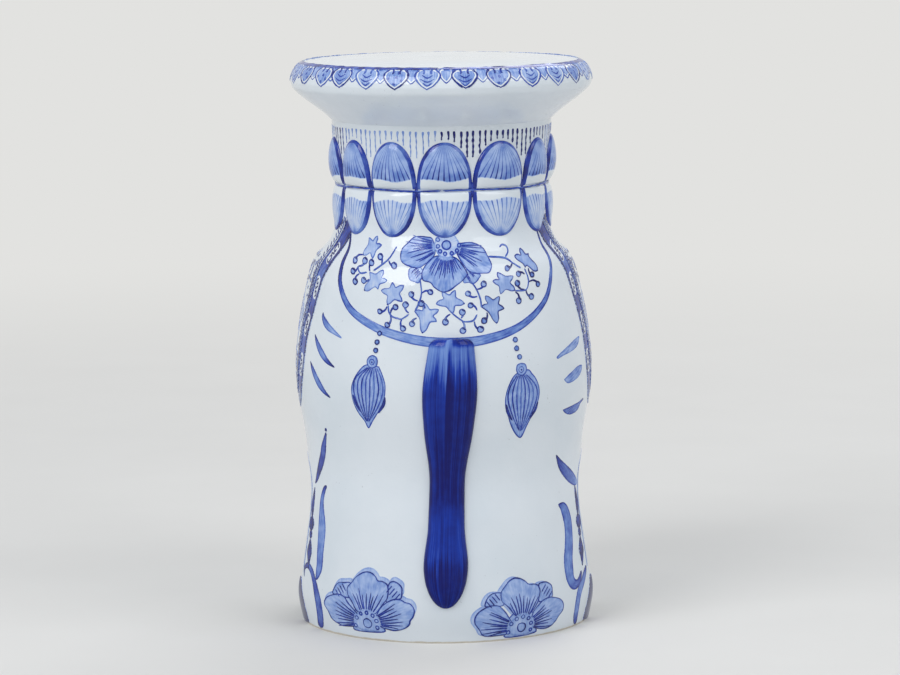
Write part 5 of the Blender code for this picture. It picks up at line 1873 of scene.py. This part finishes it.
class STOOL_OT_face(bpy.types.Operator):
    """Eyes, browband with pendants, wrinkles on the trunk, and veins on the ears"""

    bl_idname = "stool.face"
    bl_label = "Face Brushwork"

    def execute(self, context):
        fills, lines = on_face(81), on_face(82)
        luck = lines.luck
        for side in (-1.0, 1.0):
            for drawing in (fills, lines):
                drawing.at(side * EYE_ANGLE, EYE_LEVEL, 0.0, 0.92, side)
            fills.shape(EYE, 0.75, count=61).dot(-0.5, 0.6, 3.9, 2.4, layer=2, count=25)
            lines.stroke(BROW, 0.8)
            for wrinkle in EYE_WRINKLES:
                lines.stroke(wrinkle, 0.7, across=1)
        lines.at(0.0, BROW_LEVEL)
        x = np.linspace(-92.0, 92.0, 15)
        for drop, half, tone in BAND_STRIPES:
            lines.stroke(np.column_stack((x, drop - BROW_SAG * x**2)), tone, half=half)
        for x in np.arange(-84.0, 85.0, 12.0):
            fills.at(0.0, BROW_LEVEL).dot(x, -BROW_SAG * x * x, 2.3, 1.3, layer=3)
        for x, size in PENDANTS:
            level = BROW_LEVEL - 0.0036 - 0.001 * BROW_SAG * x * x
            self.pendant(fills, lines, math.degrees(x * 0.001 / float(fills.radius(level))), level, size)
        share = np.linspace(-1.0, 1.0, 5)
        for level in np.arange(*TRUNK_WRINKLES):
            across = (30.0 - 0.1 * (1000.0 * level - 140.0)) * share + luck.normal(0.0, 1.5)
            bow = np.column_stack((across, 4.5 * (share**2 - 1.0), 0.75 - 0.5 * np.abs(share)))
            lines.at(0.0, -level).stroke(bow, 0.50 + 0.25 * luck.random(), across=1)
        fills.piece("face_fills", leaf_glaze("face_paint", 0.90, 0.40, streaks=0.14))
        lines.piece("face_lines", line_glaze("face_brush", 0.92))
        for side, name in ((-1.0, "left"), (1.0, "right")):
            veins = on_ear(side, 83)
            turns = range(-2, 363, 7)
            rim = [(math.radians(turn) * EAR_RIM, EAR_RIM, 0.9 + 0.35 * luck.random()) for turn in turns]
            veins.stroke(rim, 0.72)
            for turn in EAR_VEINS:
                near, far = (start + 6.0 * veins.luck.random() for start in (18.0, 38.0))
                rows = ((0.0, near, 0.3), (0.0, 0.5 * (near + far), 1.1), (0.0, far, 0.3))
                veins.at(turn).stroke(rows, 0.60 + 0.2 * veins.luck.random())
            veins.piece(f"ear_veins_{name}", line_glaze(f"ear_brush_{name}", 0.92))
        return {"FINISHED"}

    def pendant(self, fills, lines, angle, level, size):
        """Pointed drop with a smaller one in it, three beads, and a tassel."""
        fills.at(angle, level, 0.0, size)
        for n, (side, foot, top) in enumerate(PENDANT_SIDES):
            fills.shape(mirrored(side, (foot,), (top,)), 0.9 + 0.5 * n, layer=1 + n, count=61)
        for y in (-19.2, -23.2, -27.2):
            fills.dot(0.0, y, 1.8, 1.3, layer=2)
        place = angle, level - 0.0345 * size, 0.0, 0.52 * size
        tassel(fills.at(*place), lines.at(*place), (), TASSELS[1][3])


# Stage

BACKDROP = srgb(226, 226, 224)
FLOOR_COLOURS = srgb(216, 215, 212), srgb(223, 222, 219)
FLOOR_REACH = 6.0
FLOOR_FADE = 0.55, 2.6
ROOM_LIGHT = (0.46, 0.48, 0.51)
CAMERA_LENS = 146.2
CAMERA_X = 0.0053
CAMERA_DISTANCE = 2.95
CAMERA_HEIGHT = 0.627
CAMERA_PITCH = 7.7
CAMERA_ROLL = 0.515
SEEN_RAYS = ("Is Camera Ray", "Is Glossy Ray")
AIM = Vector((0.0, -0.05, 0.22))
LAMPS = (
    ("left_softbox", (-1.7, -1.9, 2.5), (1.8, 1.8), 46.0),
    ("right_softbox", (1.9, -1.3, 2.4), (1.8, 1.8), 22.0),
    ("front_softbox", (0.9, 2.1, 2.5), (1.8, 1.6), 25.0),
    ("overhead", (0.0, -0.3, 2.8), (1.8, 1.8), 3.0),
)


class STOOL_OT_stage(bpy.types.Operator):
    """Pale floor, soft lights and the camera"""

    bl_idname = "stool.stage"
    bl_label = "Stage"

    def execute(self, context):
        context.scene.view_settings.view_transform = "Standard"
        self.floor(context.scene)
        self.lights(context.scene)
        self.camera(context.scene)
        return {"FINISHED"}

    def floor(self, scene):
        """Mottled floor that goes over into the backdrop's colour with the way from the stool."""
        mesh = bpy.data.meshes.new("floor")
        corners = [(x * FLOOR_REACH, y * FLOOR_REACH, 0.0) for x, y in ((-1, -1), (1, -1), (1, 1), (-1, 1))]
        mesh.from_pydata(corners, [], [(0, 1, 2, 3)])
        recipe = Recipe("pale_floor")
        shade = recipe.mix(recipe.noise(6.0, 4.0), *FLOOR_COLOURS)
        recipe.fill(recipe.shader, {"Base Color": shade, "Roughness": 0.85})
        x, y, _ = recipe.parts(recipe.place())
        away = ((x * x + y * y) ** 0.5).rise(*FLOOR_FADE)
        camera_ray, glossy_ray = (recipe.node("ShaderNodeLightPath", output=ray) for ray in SEEN_RAYS)
        glow = recipe.node("ShaderNodeEmission", inputs={"Color": (*BACKDROP, 1.0)})
        ends = {0: away * camera_ray.most(glossy_ray), 1: Flow(recipe, recipe.shader.outputs[0]), 2: glow}
        both = recipe.node("ShaderNodeMixShader", inputs=ends)
        recipe.fill(recipe.tree.nodes["Material Output"], {"Surface": both})
        mesh.materials.append(recipe.material)
        floor = bpy.data.objects.new("floor", mesh)
        scene.collection.objects.link(floor)

    def lights(self, scene):
        """Soft lamps aimed at the stool, and a world that shows the backdrop's colour."""
        for name, place, size, power in LAMPS:
            light = bpy.data.lights.new(name, "AREA")
            light.shape = "RECTANGLE"
            light.size, light.size_y = size
            light.energy = power
            lamp = bpy.data.objects.new(name, light)
            facing = (AIM - Vector(place)).to_track_quat("-Z", "Y").to_matrix().to_4x4()
            lamp.matrix_world = Matrix.Translation(place) @ facing
            scene.collection.objects.link(lamp)
        world = bpy.data.worlds.new("studio")
        world.use_nodes = True
        scene.world = world
        nodes, links = world.node_tree.nodes, world.node_tree.links
        light_path, either = nodes.new("ShaderNodeLightPath"), nodes.new("ShaderNodeMath")
        either.operation = "MAXIMUM"
        for n, ray in enumerate(SEEN_RAYS):
            links.new(light_path.outputs[ray], either.inputs[n])
        seen = nodes.new("ShaderNodeMix")
        seen.data_type = "RGBA"
        seen.inputs[6].default_value = (*ROOM_LIGHT, 1.0)
        seen.inputs[7].default_value = (*BACKDROP, 1.0)
        links.new(either.outputs[0], seen.inputs[0])
        links.new(seen.outputs[2], nodes["Background"].inputs["Color"])

    def camera(self, scene):
        """Camera behind the stool, tilted down by its pitch and turned about its own axis by its roll."""
        camera = bpy.data.objects.new("camera", bpy.data.cameras.new("camera"))
        camera.data.lens = CAMERA_LENS
        place = Matrix.Translation((CAMERA_X, AXIS_Y - CAMERA_DISTANCE, CAMERA_HEIGHT))
        tilt = Matrix.Rotation(math.radians(90.0 - CAMERA_PITCH), 4, "X")
        camera.matrix_world = place @ tilt @ Matrix.Rotation(-math.radians(CAMERA_ROLL), 4, "Z")
        scene.collection.objects.link(camera)
        scene.camera = camera


def colour_setting(name, description, default):
    return bpy.props.FloatVectorProperty(
        name=name, description=description, default=default, subtype="COLOR", min=0.0, max=1.0
    )


class StoolColours(bpy.types.PropertyGroup):
    """Colours of the glaze and the brushwork"""

    white: colour_setting("White", "Glaze over the white body", srgb(226, 233, 239))
    thick_glaze: colour_setting("Thick Glaze", "Where the glaze lies thick", srgb(217, 226, 233))
    speck: colour_setting("Speck", "Pinholes and iron specks", srgb(160, 165, 172))
    pale_wash: colour_setting("Pale Wash", "Thinnest cobalt", srgb(166, 189, 232))
    wash: colour_setting("Wash", "Middle cobalt", srgb(102, 136, 206))
    cobalt: colour_setting("Cobalt", "Full cobalt", srgb(14, 54, 164))
    navy: colour_setting("Navy", "Pooled cobalt", srgb(0, 8, 98))
    # Two colours of the darker, warmer band along the bottom edge, mixed at random.
    foot_band_colour: colour_setting("Clay", "Bare foot", srgb(214, 208, 196))
    foot_band_dark: colour_setting("Dark Clay", "Dirt on the bare foot", srgb(176, 168, 152))


class StoolSizes(bpy.types.PropertyGroup):
    """Sizes of the relief and the brushwork"""

    upper_petal_swell: bpy.props.FloatProperty(
        name="Upper Petal Swell", description="How far the upper petals stand out", default=0.0056,
        subtype="DISTANCE", unit="LENGTH", min=0.0, max=0.012,
    )
    lower_petal_swell: bpy.props.FloatProperty(
        name="Lower Petal Swell", description="How far the lower petals stand out", default=0.0038,
        subtype="DISTANCE", unit="LENGTH", min=0.0, max=0.012,
    )


class STOOL_PT_panel(bpy.types.Panel):
    """Steps that dress the stool, in order"""

    bl_label = "Garden Stool"
    bl_idname = "STOOL_PT_panel"
    bl_space_type = "VIEW_3D"
    bl_region_type = "UI"
    bl_category = "Stool"

    def draw(self, context):
        for operator in OPERATORS:
            self.layout.operator(operator.bl_idname)


OPERATORS = (
    STOOL_OT_body,
    STOOL_OT_seat,
    STOOL_OT_petals,
    STOOL_OT_rim,
    STOOL_OT_neck,
    STOOL_OT_flap,
    STOOL_OT_tassels,
    STOOL_OT_legs,
    STOOL_OT_flowers,
    STOOL_OT_cloth,
    STOOL_OT_tail,
    STOOL_OT_head,
    STOOL_OT_face,
    STOOL_OT_stage,
)
CLASSES = (StoolColours, StoolSizes, *OPERATORS, STOOL_PT_panel)


def register():
    for kind in CLASSES:
        bpy.utils.register_class(kind)
    bpy.types.Scene.stool_colours = bpy.props.PointerProperty(type=StoolColours)
    bpy.types.Scene.stool_sizes = bpy.props.PointerProperty(type=StoolSizes)


def unregister():
    del bpy.types.Scene.stool_sizes
    del bpy.types.Scene.stool_colours
    for kind in reversed(CLASSES):
        bpy.utils.unregister_class(kind)


def main():
    register()
    for operator in OPERATORS:
        group, name = operator.bl_idname.split(".")
        getattr(getattr(bpy.ops, group), name)()


if __name__ == "__main__":
    main()
